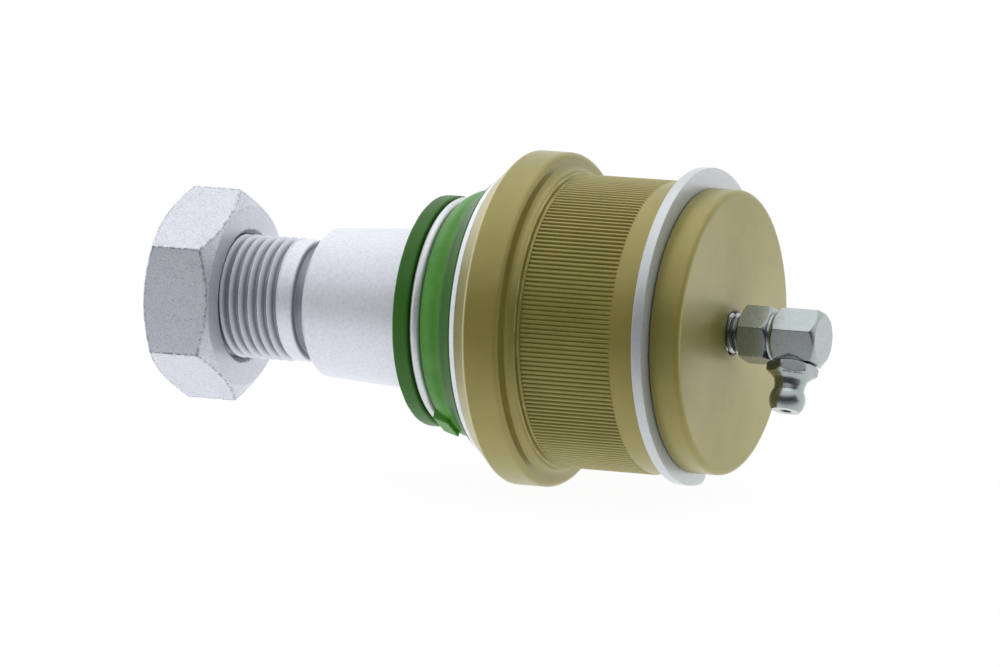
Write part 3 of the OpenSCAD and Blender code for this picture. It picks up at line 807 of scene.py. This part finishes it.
class BALLJOINT_OT_finishes(Operator):
    """Make the finishes that the pieces wear"""
    bl_idname = "balljoint.finishes"
    bl_label = "Make the finishes"

    def execute(self, context):
        for make in (make_mottling, make_grain, make_turning, make_speckle, make_edge_wear, make_groove_shade,
                     make_band):
            make()
        scene = context.scene
        tints = scene.balljoint_finish
        olive_coating(tints, scene.balljoint_housing)
        stud_flake(tints, scene.balljoint_stud)
        boot_rubber(tints, scene.balljoint_boot)
        nut_flake(tints)
        for name, tint in (("Ring zinc", tints.zinc), ("Snap ring zinc", tints.snap_zinc)):
            zinc(name, tint, tints, mottling=(1800.0, 0.3), wear=(0.25, 1500.0, 0.3), grain=3000.0,
                 rough=(0.3, 0.42), bump=0.006, Metallic=0.5)
        zinc("Fitting zinc", tints.fitting, tints, mottling=(700.0, 0.25), wear=(0.2, 1500.0, 0.35),
             grain=1200.0, rough=(0.2, 0.28), bump=0.0015, Metallic=0.95)
        plain_steel("Bearing steel", tints.bearing, (0.18, 0.3), tints)
        plain_steel("Spring steel", tints.spring, (0.3, 0.45), tints)
        return {"FINISHED"}


class BALLJOINT_OT_housing(Operator):
    """Turn the housing and press its knurl"""
    bl_idname = "balljoint.housing"
    bl_label = "Build the housing"

    def execute(self, context):
        s = context.scene.balljoint_housing
        gap = 0.05 * MM
        run = 0.35 * MM
        bm = bmesh.new()
        rows = [s.knurl_front, s.knurl_front + run, s.knurl_front + 2 * run,
                (s.knurl_front + s.knurl_end) / 2, s.knurl_end - run, s.knurl_end - run / 2, s.knurl_end]
        spin(bm, [(x, s.knurl_r) for x in rows], TOOTH_COLUMNS * s.knurl_teeth)
        for vert in bm.verts:
            if vert.co.x < s.knurl_front + WELD:
                set_radius(vert, s.relief_r)
            elif vert.co.x > s.knurl_end - WELD:
                set_radius(vert, s.pilot_r)
            else:
                phase = from_top(vert) / FULL_TURN * s.knurl_teeth % 1.0
                cut = max(0.0, 1.0 - abs(phase - 0.5) / TOOTH_GROOVE)
                set_radius(vert, s.knurl_r - s.knurl_depth * cut)
        land_len, land_step = 0.6 * MM, 0.2 * MM
        land_end = s.seat + s.fillet + land_len
        step = s.floor - s.shoulder
        port_bevel, port_round = 0.4 * MM, 0.05 * MM
        spin(bm, outline([
            (s.knurl_end + gap, s.pilot_r), (s.groove_front, s.pilot_r, s.edge / 2),
            (s.groove_front, s.groove_r, s.edge / 2), (s.groove_end, s.groove_r, s.edge / 2),
            (s.groove_end, s.drum_r, s.edge), (s.face, s.drum_r, 4 * s.edge),
            (s.face, s.port_r + port_bevel, port_round), (s.face - port_bevel, s.port_r),
            (s.floor, s.port_r), (s.floor, s.pocket_r, s.edge),
            (step, s.pocket_r, s.edge / 2), (step, s.bore_r, s.edge / 2),
            (s.front, s.bore_r, s.edge / 2), (s.front, s.front_r, s.edge / 2),
            (s.flange_front, s.flange_r, 1.5 * s.edge), (s.seat, s.flange_r, 4 * s.edge),
            (s.seat, s.land_r, s.fillet), (land_end, s.land_r, s.edge / 2),
            (land_end + land_step, s.relief_r, s.edge / 2), (s.knurl_front - gap, s.relief_r)], steps=7),
            2 * s.knurl_teeth)
        join_rings(bm, s.knurl_end, s.knurl_end + gap)
        join_rings(bm, s.knurl_front - gap, s.knurl_front)
        piece = finish(bm, "housing_shell", "Olive coating")
        show_as(piece, "housing", "housing_coating", "housing")
        return {"FINISHED"}


class BALLJOINT_OT_closing_ring(Operator):
    """Turn the closing ring, pressed into the housing's bore up to its flange"""
    bl_idname = "balljoint.closing_ring"
    bl_label = "Build the closing ring"

    def execute(self, context):
        s = context.scene.balljoint_rings
        h = context.scene.balljoint_housing
        pocket_back = s.closing_front + s.pocket_depth
        hook_back = s.closing_front + s.hook_len
        flange_back = h.front - s.play
        barrel_r = h.bore_r - s.play
        half = s.edge / 2
        bm = bmesh.new()
        spin(bm, outline([
            (s.closing_back, s.back_in_r, s.edge), (s.closing_back, barrel_r, s.edge),
            (flange_back, barrel_r, half), (flange_back, h.front_r, half),
            (s.closing_front, h.front_r - s.closing_bevel, s.edge), (s.closing_front, s.hook_r, half),
            (hook_back, s.hook_r, half), (hook_back, s.pocket_out_r, half),
            (pocket_back, s.pocket_out_r, half), (pocket_back, s.pocket_in_r, half),
            (s.closing_front, s.pocket_in_r, half), (s.closing_front, s.front_in_r, s.edge)],
            closed=True, steps=4), RING_SIDES, closed=True)
        piece = finish(bm, "closing_ring_turned", "Ring zinc")
        show_as(piece, "housing", "ring_steel", "closing_ring")
        return {"FINISHED"}


class BALLJOINT_OT_stud(Operator):
    """Turn the ball stud and cut its thread"""
    bl_idname = "balljoint.stud"
    bl_label = "Build the ball stud"

    def execute(self, context):
        s = context.scene.balljoint_stud
        gap = 0.1 * MM
        cut_end = s.end + gap
        chamfer = 1.35 * MM
        end_r = s.crest_r - chamfer
        taper_end = s.taper_start - s.taper_len
        small_r = s.taper_r - s.taper_len / s.taper_ratio / 2
        collar = taper_end - s.relief_w
        thread_top = collar - s.collar_w
        run_out = 0.35 * s.pitch
        seat_round, taper_round, taper_bevel, bevel_round = 0.3 * MM, 0.2 * MM, 0.8 * MM, 0.3 * MM
        relief_round, collar_round = 0.4 * MM, 0.45 * MM
        sink_len, sink_rise, sink_round, drill_tip = 1.3 * MM, 1.1 * MM, 0.1 * MM, 0.9 * MM
        ball_steps = 40
        bm = bmesh.new()
        thread(bm, s.crest_r, s.thread_h, s.pitch, cut_end, thread_top, STUD_SIDES, phase=0.5)
        for vert in bm.verts:
            radius = radius_of(vert)
            fade = min(1.0, max(0.0, 1.0 - (thread_top - vert.co.x) / run_out))
            radius += (s.collar_r - radius) * fade ** 2 * (3 - 2 * fade)
            set_radius(vert, min(radius, end_r + vert.co.x - s.end))
        flat_angle = math.acos(s.ball_flat / s.ball_r)
        neck_angle = math.pi - math.asin(s.neck_r / s.ball_r)
        spin(bm, outline([
            (s.ball_flat, 0.0), *arc(s.ball_r, flat_angle, neck_angle, ball_steps),
            (s.lip_seat, s.neck_r, s.neck_round), (s.lip_seat, s.taper_r, seat_round),
            (s.taper_start, s.taper_r, taper_round), (taper_end + taper_bevel, small_r, relief_round),
            (taper_end, small_r - taper_bevel, bevel_round), (taper_end, s.relief_r, relief_round),
            (collar, s.relief_r, relief_round), (collar, s.collar_r, collar_round),
            (thread_top + gap, s.collar_r)]), STUD_SIDES)
        centre_end = s.end + s.centre_depth
        spin(bm, outline([
            (s.end, end_r - gap / 2), (s.end, s.centre_r + sink_rise, sink_round),
            (s.end + sink_len, s.centre_r, sink_round), (centre_end, s.centre_r),
            (centre_end + drill_tip, 0.0)]), STUD_SIDES)
        join_rings(bm, s.end, cut_end)
        join_rings(bm, thread_top, thread_top + gap)
        piece = finish(bm, "stud_threaded", "Zinc flake")
        show_as(piece, "stud", "stud_coating", "ball_stud")
        return {"FINISHED"}


class BALLJOINT_OT_nut(Operator):
    """Turn the nut's faces and press its flats"""
    bl_idname = "balljoint.nut"
    bl_label = "Build the nut"

    def execute(self, context):
        s = context.scene.balljoint_nut
        rough_r = s.face_r + 2 * MM
        sink = s.sink_r - s.bore_r
        slope = math.tan(NUT_BEVEL)
        bm = bmesh.new()
        spin(bm, [(s.front, s.sink_r), (s.front, s.face_r), (s.front + MM, rough_r), (s.back - MM, rough_r),
                  (s.back, s.face_r), (s.back, s.sink_r), (s.back - sink, s.bore_r),
                  (s.front + sink, s.bore_r)], HEXAGON_SIDES, closed=True)
        to_hexagon(bm, s.flats, (s.front, s.face_r, slope), (s.back, s.face_r, slope))
        bevel_sharp(bm, degrees=20, width=0.2 * MM)
        turn(bm, s.turn)
        piece = finish(bm, "nut_hexagon", "Nut flake", smooth_under=18.0)
        show_as(piece, "nut", "nut_coating", "hex_nut")
        return {"FINISHED"}


class BALLJOINT_OT_boot(Operator):
    """Mould the rubber boot and lay its spring ring in the groove"""
    bl_idname = "balljoint.boot"
    bl_label = "Build the boot"

    def execute(self, context):
        s = context.scene.balljoint_boot
        groove = s.lip_front + s.lip_w
        shoulder = groove + s.groove_w
        self.rubber(s, groove, shoulder)
        bm = bmesh.new()
        wire_at = s.groove_r + 0.02 * MM + s.wire_r
        section = wire_circle(bm, s.wire_r, WIRE_SIDES, (groove + shoulder) / 2, wire_at)
        sweep(bm, section, RING_SIDES, merge=True)
        ring = finish(bm, "spring_ring_wire", "Ring zinc")
        show_as(ring, "boot_collar", "ring_steel", "boot_spring_ring")
        return {"FINISHED"}

    def rubber(self, s, groove, shoulder):
        """The boot with its lip, its lug and its foot"""
        rise = s.bulge_r - s.shoulder_r
        span = s.bulge - shoulder
        foot_back = s.back + s.foot_depth
        flap_back = s.back + 0.55 * MM
        hook_back = s.back + 0.8 * MM
        half, fourth = s.edge / 2, s.edge / 4
        seat_step, seat_rise, seat_back = 0.4 * MM, 0.9 * MM, 0.9 * MM
        inner_step, inner_rise, inner_round = 1.2 * MM, 0.3 * MM, 1.5 * MM
        bend_round, bulge_round, lift = 5.0 * MM, 2.6 * MM, 0.05 * MM
        bm = bmesh.new()
        spin(bm, outline([
            (s.lip_front + seat_step, s.seat_r, half), (s.lip_front, s.seat_r + seat_rise, s.edge),
            (s.lip_front, s.lip_r, s.edge), (groove, s.lip_r, s.edge),
            (groove, s.groove_r, s.edge), (shoulder, s.groove_r, s.edge),
            (shoulder, s.shoulder_r, s.edge),
            (shoulder + 0.27 * span, s.shoulder_r + 0.55 * rise, bend_round),
            (shoulder + 0.6 * span, s.shoulder_r + 0.87 * rise, bend_round),
            (s.bulge, s.bulge_r, bulge_round),
            (s.back - s.edge, s.flare_r, s.edge), (s.back, s.flare_r - half, fourth),
            (s.back, s.hook_r, fourth), (hook_back, s.hook_r, fourth),
            (hook_back, s.foot_out_r, fourth), (foot_back, s.foot_out_r, half),
            (foot_back, s.foot_in_r, fourth), (flap_back, s.foot_in_r, fourth),
            (flap_back, s.flap_r, fourth), (s.back + lift, s.flap_r, fourth),
            (s.bulge - s.wall / 2, s.bulge_r - s.wall, inner_round),
            (shoulder + inner_step, s.shoulder_r - s.wall + inner_rise, inner_round),
            (groove + seat_back, s.seat_r, s.edge)], closed=True, steps=6), BOOT_SIDES, closed=True)
        flash, flash_scale = 0.12 * MM, 900
        for vert in bm.verts:
            radius = radius_of(vert)
            if vert.co.x < s.lip_front + MM and radius > s.lip_r - MM:
                set_radius(vert, radius + flash * min(0.0, noise.noise(vert.co * flash_scale)))
        lug = bmesh.ops.create_cube(bm, size=1.0)["verts"]
        for vert in lug:
            top = s.lug_low_r if vert.co.x < 0 else s.lug_high_r
            vert.co = (shoulder + (vert.co.x + 0.5) * s.lug_len, vert.co.y * s.lug_w,
                       -top if vert.co.z < 0 else -(s.shoulder_r - s.wall / 2))
        turn(bm, s.lug_turn, lug)
        bevel_edges(bm, list({edge for vert in lug for edge in vert.link_edges}), width=0.3 * MM, segments=3)
        boot = finish(bm, "boot_rubber", "Boot rubber", smooth_under=50.0)
        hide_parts("dust_boot")
        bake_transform(boot)


class BALLJOINT_OT_snap_ring(Operator):
    """Bend the snap ring, whose outside is off centre"""
    bl_idname = "balljoint.snap_ring"
    bl_label = "Build the snap ring"

    def execute(self, context):
        s = context.scene.balljoint_rings
        bm = bmesh.new()
        section = chain(bm, [(s.snap_front, s.snap_in_r), (s.snap_front, s.snap_out_r),
                             (s.snap_back, s.snap_out_r), (s.snap_back, s.snap_in_r)], closed=True)
        turn(bm, math.pi + s.snap_gap / 2)
        sweep(bm, section, SNAP_STEPS, FULL_TURN - s.snap_gap)
        close_ends(bm, 4)
        for vert in bm.verts:
            if radius_of(vert) > s.snap_in_r + MM:
                direction = from_top(vert)
                across = s.snap_shift * math.sin(direction)
                from_end = math.pi - s.snap_gap / 2 - abs(direction)
                corner = max(0.0, 1.0 - from_end / s.snap_round)
                drop = s.snap_drop * (1.0 - math.sqrt(max(0.0, 1.0 - corner ** 2)))
                outside = s.snap_shift * math.cos(direction) + math.sqrt(s.snap_out_r ** 2 - across ** 2)
                set_radius(vert, outside - drop)
        bevel_sharp(bm, degrees=40, width=s.edge)
        turn(bm, s.snap_turn)
        piece = finish(bm, "snap_ring_sprung", "Snap ring zinc")
        show_as(piece, "housing", "snap_ring_coating", "snap_ring")
        return {"FINISHED"}


class BALLJOINT_OT_fitting(Operator):
    """Turn the grease elbow from hexagon bar, and its nipple with the valve's spring"""
    bl_idname = "balljoint.fitting"
    bl_label = "Build the grease fitting"

    def execute(self, context):
        s = context.scene.balljoint_fitting
        self.elbow(s)
        self.nipple(s)
        self.valve_spring(s)
        return {"FINISHED"}

    def elbow(self, s):
        """Two hexagons of one bar with a turned waist between them, and the screwed end"""
        waist = s.shoulder + s.wrench_len
        head = waist + s.waist_len
        rough_r = s.flats / 2 + 0.3 * MM
        rise, root_round = 0.1 * MM, 0.15 * MM
        root_r = s.thread_r - s.thread_h
        gap = 0.05 * MM
        neck = s.shoulder - 0.35 * MM
        shoulder_slope, waist_slope, end_slope = 0.48, 0.76, 0.72
        bm = bmesh.new()
        thread(bm, s.thread_r, s.thread_h, s.pitch, s.start + gap, neck, HEXAGON_SIDES)
        for vert in bm.verts:
            lead = root_r - gap + max(0.0, vert.co.x - s.start - gap)
            last = root_r + max(0.0, neck - vert.co.x)
            set_radius(vert, min(radius_of(vert), lead, last))
        spin(bm, outline([
            (neck + gap, root_r), (s.shoulder, root_r, root_round), (s.shoulder, s.face_r),
            (s.shoulder + rise, rough_r), (waist - rise, rough_r), (waist, s.face_r), (waist, s.waist_r),
            (head, s.waist_r), (head, s.face_r), (head + rise, rough_r), (s.end - rise, rough_r),
            (s.end, s.end_face_r), (s.end, 0.0)]), HEXAGON_SIDES)
        spin(bm, [(s.start, root_r - 2 * gap), (s.start, s.duct_r), (s.nipple, s.duct_r), (s.nipple, 0.0)],
             HEXAGON_SIDES)
        to_hexagon(bm, s.flats, (s.shoulder, s.face_r, shoulder_slope), (waist, s.face_r, waist_slope))
        to_hexagon(bm, s.flats, (head, s.face_r, waist_slope), (s.end, s.end_face_r, end_slope))
        join_rings(bm, s.start, s.start + gap)
        join_rings(bm, neck, neck + gap)
        bevel_sharp(bm, 15, s.edge, front=s.shoulder, back=s.end, over=s.end_face_r - s.edge)
        turn(bm, s.turn)
        piece = finish(bm, "elbow_turned", "Fitting zinc", smooth_under=24.0)
        show_as(piece, "housing", "fitting_zinc", "grease_elbow")

    def nipple(self, s):
        """Built along X from the elbow's axis, then stood on the nipple's own axis"""
        seat = s.flats / 2 + 0.02 * MM
        top = seat + s.nipple_hex
        middle = top + s.nipple_reach
        tip = middle + s.nipple_tip * s.nipple_head_r
        face_r = s.nipple_flats / 2 - 0.3 * MM
        rough_r = s.nipple_flats / 2 + 0.3 * MM
        rise = 0.1 * MM
        seat_slope, top_slope = 0.5, 0.6
        thread_r = 3.0 * MM
        thread_end = s.duct_r + 0.2 * MM
        mouth_r = 0.96 * MM
        mouth_end = tip - 0.8 * MM
        chamber_r = 1.25 * MM
        spring_duct_r = 0.7 * MM
        spring_floor = seat + 0.6 * MM
        foot_len, foot_rise, foot_round = 0.8 * MM, 0.25 * MM, 0.9 * MM
        neck_back, neck_round = middle - 2.6 * MM, 0.8 * MM
        mouth_rise, mouth_round = 0.15 * MM, 0.1 * MM
        neck_angle = math.pi - math.asin(s.nipple_neck_r / s.nipple_head_r)
        head = arc(s.nipple_head_r, neck_angle, math.acos(s.nipple_tip), 14, middle)
        bm = bmesh.new()
        spin(bm, outline([
            (thread_end, spring_duct_r), (thread_end, thread_r, 0.3 * MM), (seat, thread_r), (seat, face_r),
            (seat + rise, rough_r), (top - rise, rough_r), (top, face_r),
            (top + foot_len, s.nipple_neck_r + foot_rise, foot_round),
            (neck_back, s.nipple_neck_r, neck_round), *head,
            (tip, mouth_r + mouth_rise, mouth_round), (mouth_end, mouth_r), (mouth_end, chamber_r),
            (spring_floor, chamber_r), (spring_floor, spring_duct_r)], closed=True),
            HEXAGON_SIDES, closed=True)
        to_hexagon(bm, s.nipple_flats, (seat, face_r, seat_slope), (top, face_r, top_slope))
        bevel_sharp(bm, 15, s.edge, front=seat, back=top, over=face_r - s.edge)
        bmesh.ops.transform(bm, matrix=self.stand(s), verts=bm.verts[:])
        piece = finish(bm, "nipple_turned", "Fitting zinc", smooth_under=24.0)
        show_as(piece, "housing", "fitting_zinc", "nipple_body")

    def stand(self, s):
        """From the joint's axis to the nipple's"""
        return (Matrix.Translation(AXIS * s.nipple)
                @ Matrix.Rotation(s.turn + ELBOW_ANGLE, 4, "X")
                @ Matrix.Rotation(math.radians(-90), 4, "Y")
                @ Matrix.Rotation(s.nipple_turn, 4, "X"))

    def valve_spring(self, s):
        """The coil behind the check ball"""
        ball_low, ball_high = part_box("check_ball")
        ball = ((Vector(ball_low) + Vector(ball_high)) / 2 - AXIS * s.nipple).length
        ball_r = (ball_high[0] - ball_low[0]) / 2
        chamber_floor, dip, room = 0.62 * MM, 0.75, 0.02 * MM
        foot = s.flats / 2 + chamber_floor + s.spring_wire
        top = ball - dip * ball_r - s.spring_wire - room
        steps = 24 * s.spring_turns
        bm = bmesh.new()
        section = wire_circle(bm, s.spring_wire, SPRING_SIDES, foot, s.spring_r)
        sweep(bm, section, steps, FULL_TURN * s.spring_turns, (top - foot) / steps)
        close_ends(bm, SPRING_SIDES)
        stand = self.stand(s)
        bmesh.ops.transform(bm, matrix=stand, verts=bm.verts[:])
        piece = finish(bm, "valve_spring_coil", "Spring steel")
        show_as(piece, "housing", "spring_steel", "check_spring")
        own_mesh(piece)


class BALLJOINT_OT_inner_pieces(Operator):
    """Give the bearing and valve pieces inside their steel"""
    bl_idname = "balljoint.inner_pieces"
    bl_label = "Finish the inner pieces"

    def execute(self, context):
        steels = {"Bearing steel": ("upper_race", "pressure_seat", "check_ball"),
                  "Spring steel": ("disc_spring", "boot_foot_ring")}
        for steel, nodes in steels.items():
            for node in nodes:
                materials = frame["nodes"][node].data.materials
                materials.clear()
                materials.append(bpy.data.materials[steel])
        return {"FINISHED"}


class BALLJOINT_OT_stage(Operator):
    """Set the floor, the tent's light and the camera"""
    bl_idname = "balljoint.stage"
    bl_label = "Set the stage"

    def execute(self, context):
        s = context.scene.balljoint_stage
        back = Vector((math.sin(s.azimuth) * math.cos(s.elevation),
                       -math.cos(s.azimuth) * math.cos(s.elevation), math.sin(s.elevation)))
        level = Vector((back.x, back.y, 0)).normalized()
        self.floor(context, s, level)
        self.light(context, s, level)
        self.camera(context, s, back)
        context.scene.view_settings.view_transform = "Standard"
        return {"FINISHED"}

    def put(self, context, name, data):
        """Adds an object to the scene"""
        made = bpy.data.objects.new(name, data)
        context.scene.collection.objects.link(made)
        return made

    def towards(self, tree, where, level):
        """How far a place or a direction lies on the camera's side"""
        return add(tree, "VectorMath", {0: where, 1: level}, operation="DOT_PRODUCT").outputs["Value"]

    def seen(self, tree):
        """1 for rays from the camera, from gloss and through glass"""
        path = add(tree, "LightPath").outputs
        sharp = calc(tree, "MAXIMUM", path["Is Glossy Ray"], path["Is Transmission Ray"])
        return calc(tree, "MAXIMUM", path["Is Camera Ray"], sharp)

    def floor(self, context, s, level):
        """A pale floor under the joint that gives part of its own light"""
        bm = bmesh.new()
        bmesh.ops.create_grid(bm, x_segments=1, y_segments=1, size=s.floor_size / 2)
        bmesh.ops.translate(bm, verts=bm.verts[:], vec=(0, 0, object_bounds()[0].z))
        mesh = bpy.data.meshes.new("floor")
        bm.to_mesh(mesh)
        bm.free()
        tree = new_material("Floor")
        lit = add(tree, "BsdfDiffuse", {"Color": rgba(s.floor_white)})
        forward = self.towards(tree, point(tree), level)
        light = spread(tree, forward, s.floor_near, s.floor_far, s.floor_light, s.floor_dark)
        clear = add(tree, "LightPath").outputs["Is Camera Ray"]
        strength = calc(tree, "ADD", clear, times(tree, light, calc(tree, "SUBTRACT", 1.0, clear)))
        white = add(tree, "Emission", {"Color": (1, 1, 1, 1), "Strength": strength})
        share = spread(tree, self.seen(tree), 0.0, 1.0, s.floor_glow, s.floor_clear)
        mixed = add(tree, "MixShader", {0: share, 1: lit.outputs[0], 2: white.outputs[0]})
        add(tree, "OutputMaterial", {"Surface": mixed.outputs[0]})
        mesh.materials.append(bpy.data.materials["Floor"])
        self.put(context, "floor", mesh)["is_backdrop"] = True

    def light(self, context, s, level):
        """A pale tent with a dark card on the camera's side, and two lamps"""
        world = bpy.data.worlds.new("Light tent")
        context.scene.world = world
        world.use_nodes = True
        tree = world.node_tree
        tree.nodes.clear()
        where = add(tree, "TexCoord").outputs["Generated"]
        across = spread(tree, self.towards(tree, where, level), s.card_edge, s.card_middle)
        height = add(tree, "SeparateXYZ", {0: where}).outputs["Z"]
        below = spread(tree, height, s.card_top - s.card_soft, s.card_top + s.card_soft, 1.0, 0.0)
        strength = spread(tree, times(tree, across, below), 0.0, 1.0, s.tent, s.card)
        path = add(tree, "LightPath").outputs["Is Camera Ray"]
        tent = add(tree, "Background", {"Color": (1, 1, 1, 1), "Strength": strength})
        white = add(tree, "Background", {"Color": (1, 1, 1, 1), "Strength": 1.0})
        mixed = add(tree, "MixShader", {0: path, 1: tent.outputs[0], 2: white.outputs[0]})
        add(tree, "OutputWorld", {"Surface": mixed.outputs[0]})
        for name, power, size, at in (("Top lamp", s.top_power, 0.7, Vector((0.0, 0.05, 0.65))),
                                      ("Side lamp", s.side_power, 0.5, Vector((-0.6, 0.35, 0.3)))):
            lamp = bpy.data.lights.new(name, "AREA")
            lamp.energy = power
            lamp.size = size
            stood = self.put(context, name, lamp)
            stood.location = at
            stood.rotation_euler = at.to_track_quat("Z", "Y").to_euler()

    def camera(self, context, s, back):
        """The camera, with its aim given from the middle of the flange's front"""
        data = bpy.data.cameras.new("Camera")
        data.sensor_width = SENSOR_WIDTH
        data.lens = s.focal_pixels * SENSOR_WIDTH / PICTURE_WIDTH
        data.clip_end = 100.0
        camera = self.put(context, "Camera", data)
        turned = back.to_track_quat("Z", "Y")
        flange = AXIS * context.scene.balljoint_housing.flange_front
        aim = flange + turned @ Vector((s.aim_right, s.aim_up, 0))
        camera.location = aim + back * s.distance
        camera.rotation_euler = turned.to_euler()
        context.scene.camera = camera


class BALLJOINT_PT_sidebar(Panel):
    """Lists the pieces in the order in which they are built, and their sizes and colours"""
    bl_label = "Ball Joint"
    bl_idname = "BALLJOINT_PT_sidebar"
    bl_space_type = "VIEW_3D"
    bl_region_type = "UI"
    bl_category = "Ball Joint"

    def draw(self, context):
        for operator in OPERATORS:
            self.layout.operator(operator.bl_idname)
        for name, group_class in SETTINGS.items():
            box = self.layout.box()
            for key in group_class.__annotations__:
                box.prop(getattr(context.scene, name), key)


SETTINGS = {
    "balljoint_housing": BallJointHousing,
    "balljoint_stud": BallJointStud,
    "balljoint_nut": BallJointNut,
    "balljoint_boot": BallJointBoot,
    "balljoint_rings": BallJointRings,
    "balljoint_fitting": BallJointFitting,
    "balljoint_finish": BallJointFinish,
    "balljoint_stage": BallJointStage,
}
OPERATORS = (BALLJOINT_OT_finishes, BALLJOINT_OT_housing, BALLJOINT_OT_closing_ring, BALLJOINT_OT_stud,
             BALLJOINT_OT_nut, BALLJOINT_OT_boot, BALLJOINT_OT_snap_ring, BALLJOINT_OT_fitting,
             BALLJOINT_OT_inner_pieces, BALLJOINT_OT_stage)


def register():
    for name, group_class in SETTINGS.items():
        bpy.utils.register_class(group_class)
        setattr(bpy.types.Scene, name, PointerProperty(type=group_class))
    for other in (*OPERATORS, BALLJOINT_PT_sidebar):
        bpy.utils.register_class(other)


def unregister():
    for other in (BALLJOINT_PT_sidebar, *reversed(OPERATORS)):
        bpy.utils.unregister_class(other)
    for name, group_class in SETTINGS.items():
        delattr(bpy.types.Scene, name)
        bpy.utils.unregister_class(group_class)


def main():
    register()
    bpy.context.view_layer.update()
    bpy.ops.balljoint.finishes()
    bpy.ops.balljoint.housing()
    bpy.ops.balljoint.closing_ring()
    bpy.ops.balljoint.stud()
    bpy.ops.balljoint.nut()
    bpy.ops.balljoint.boot()
    bpy.ops.balljoint.snap_ring()
    bpy.ops.balljoint.fitting()
    bpy.ops.balljoint.inner_pieces()
    bpy.ops.balljoint.stage()


if __name__ == "__main__":
    main()
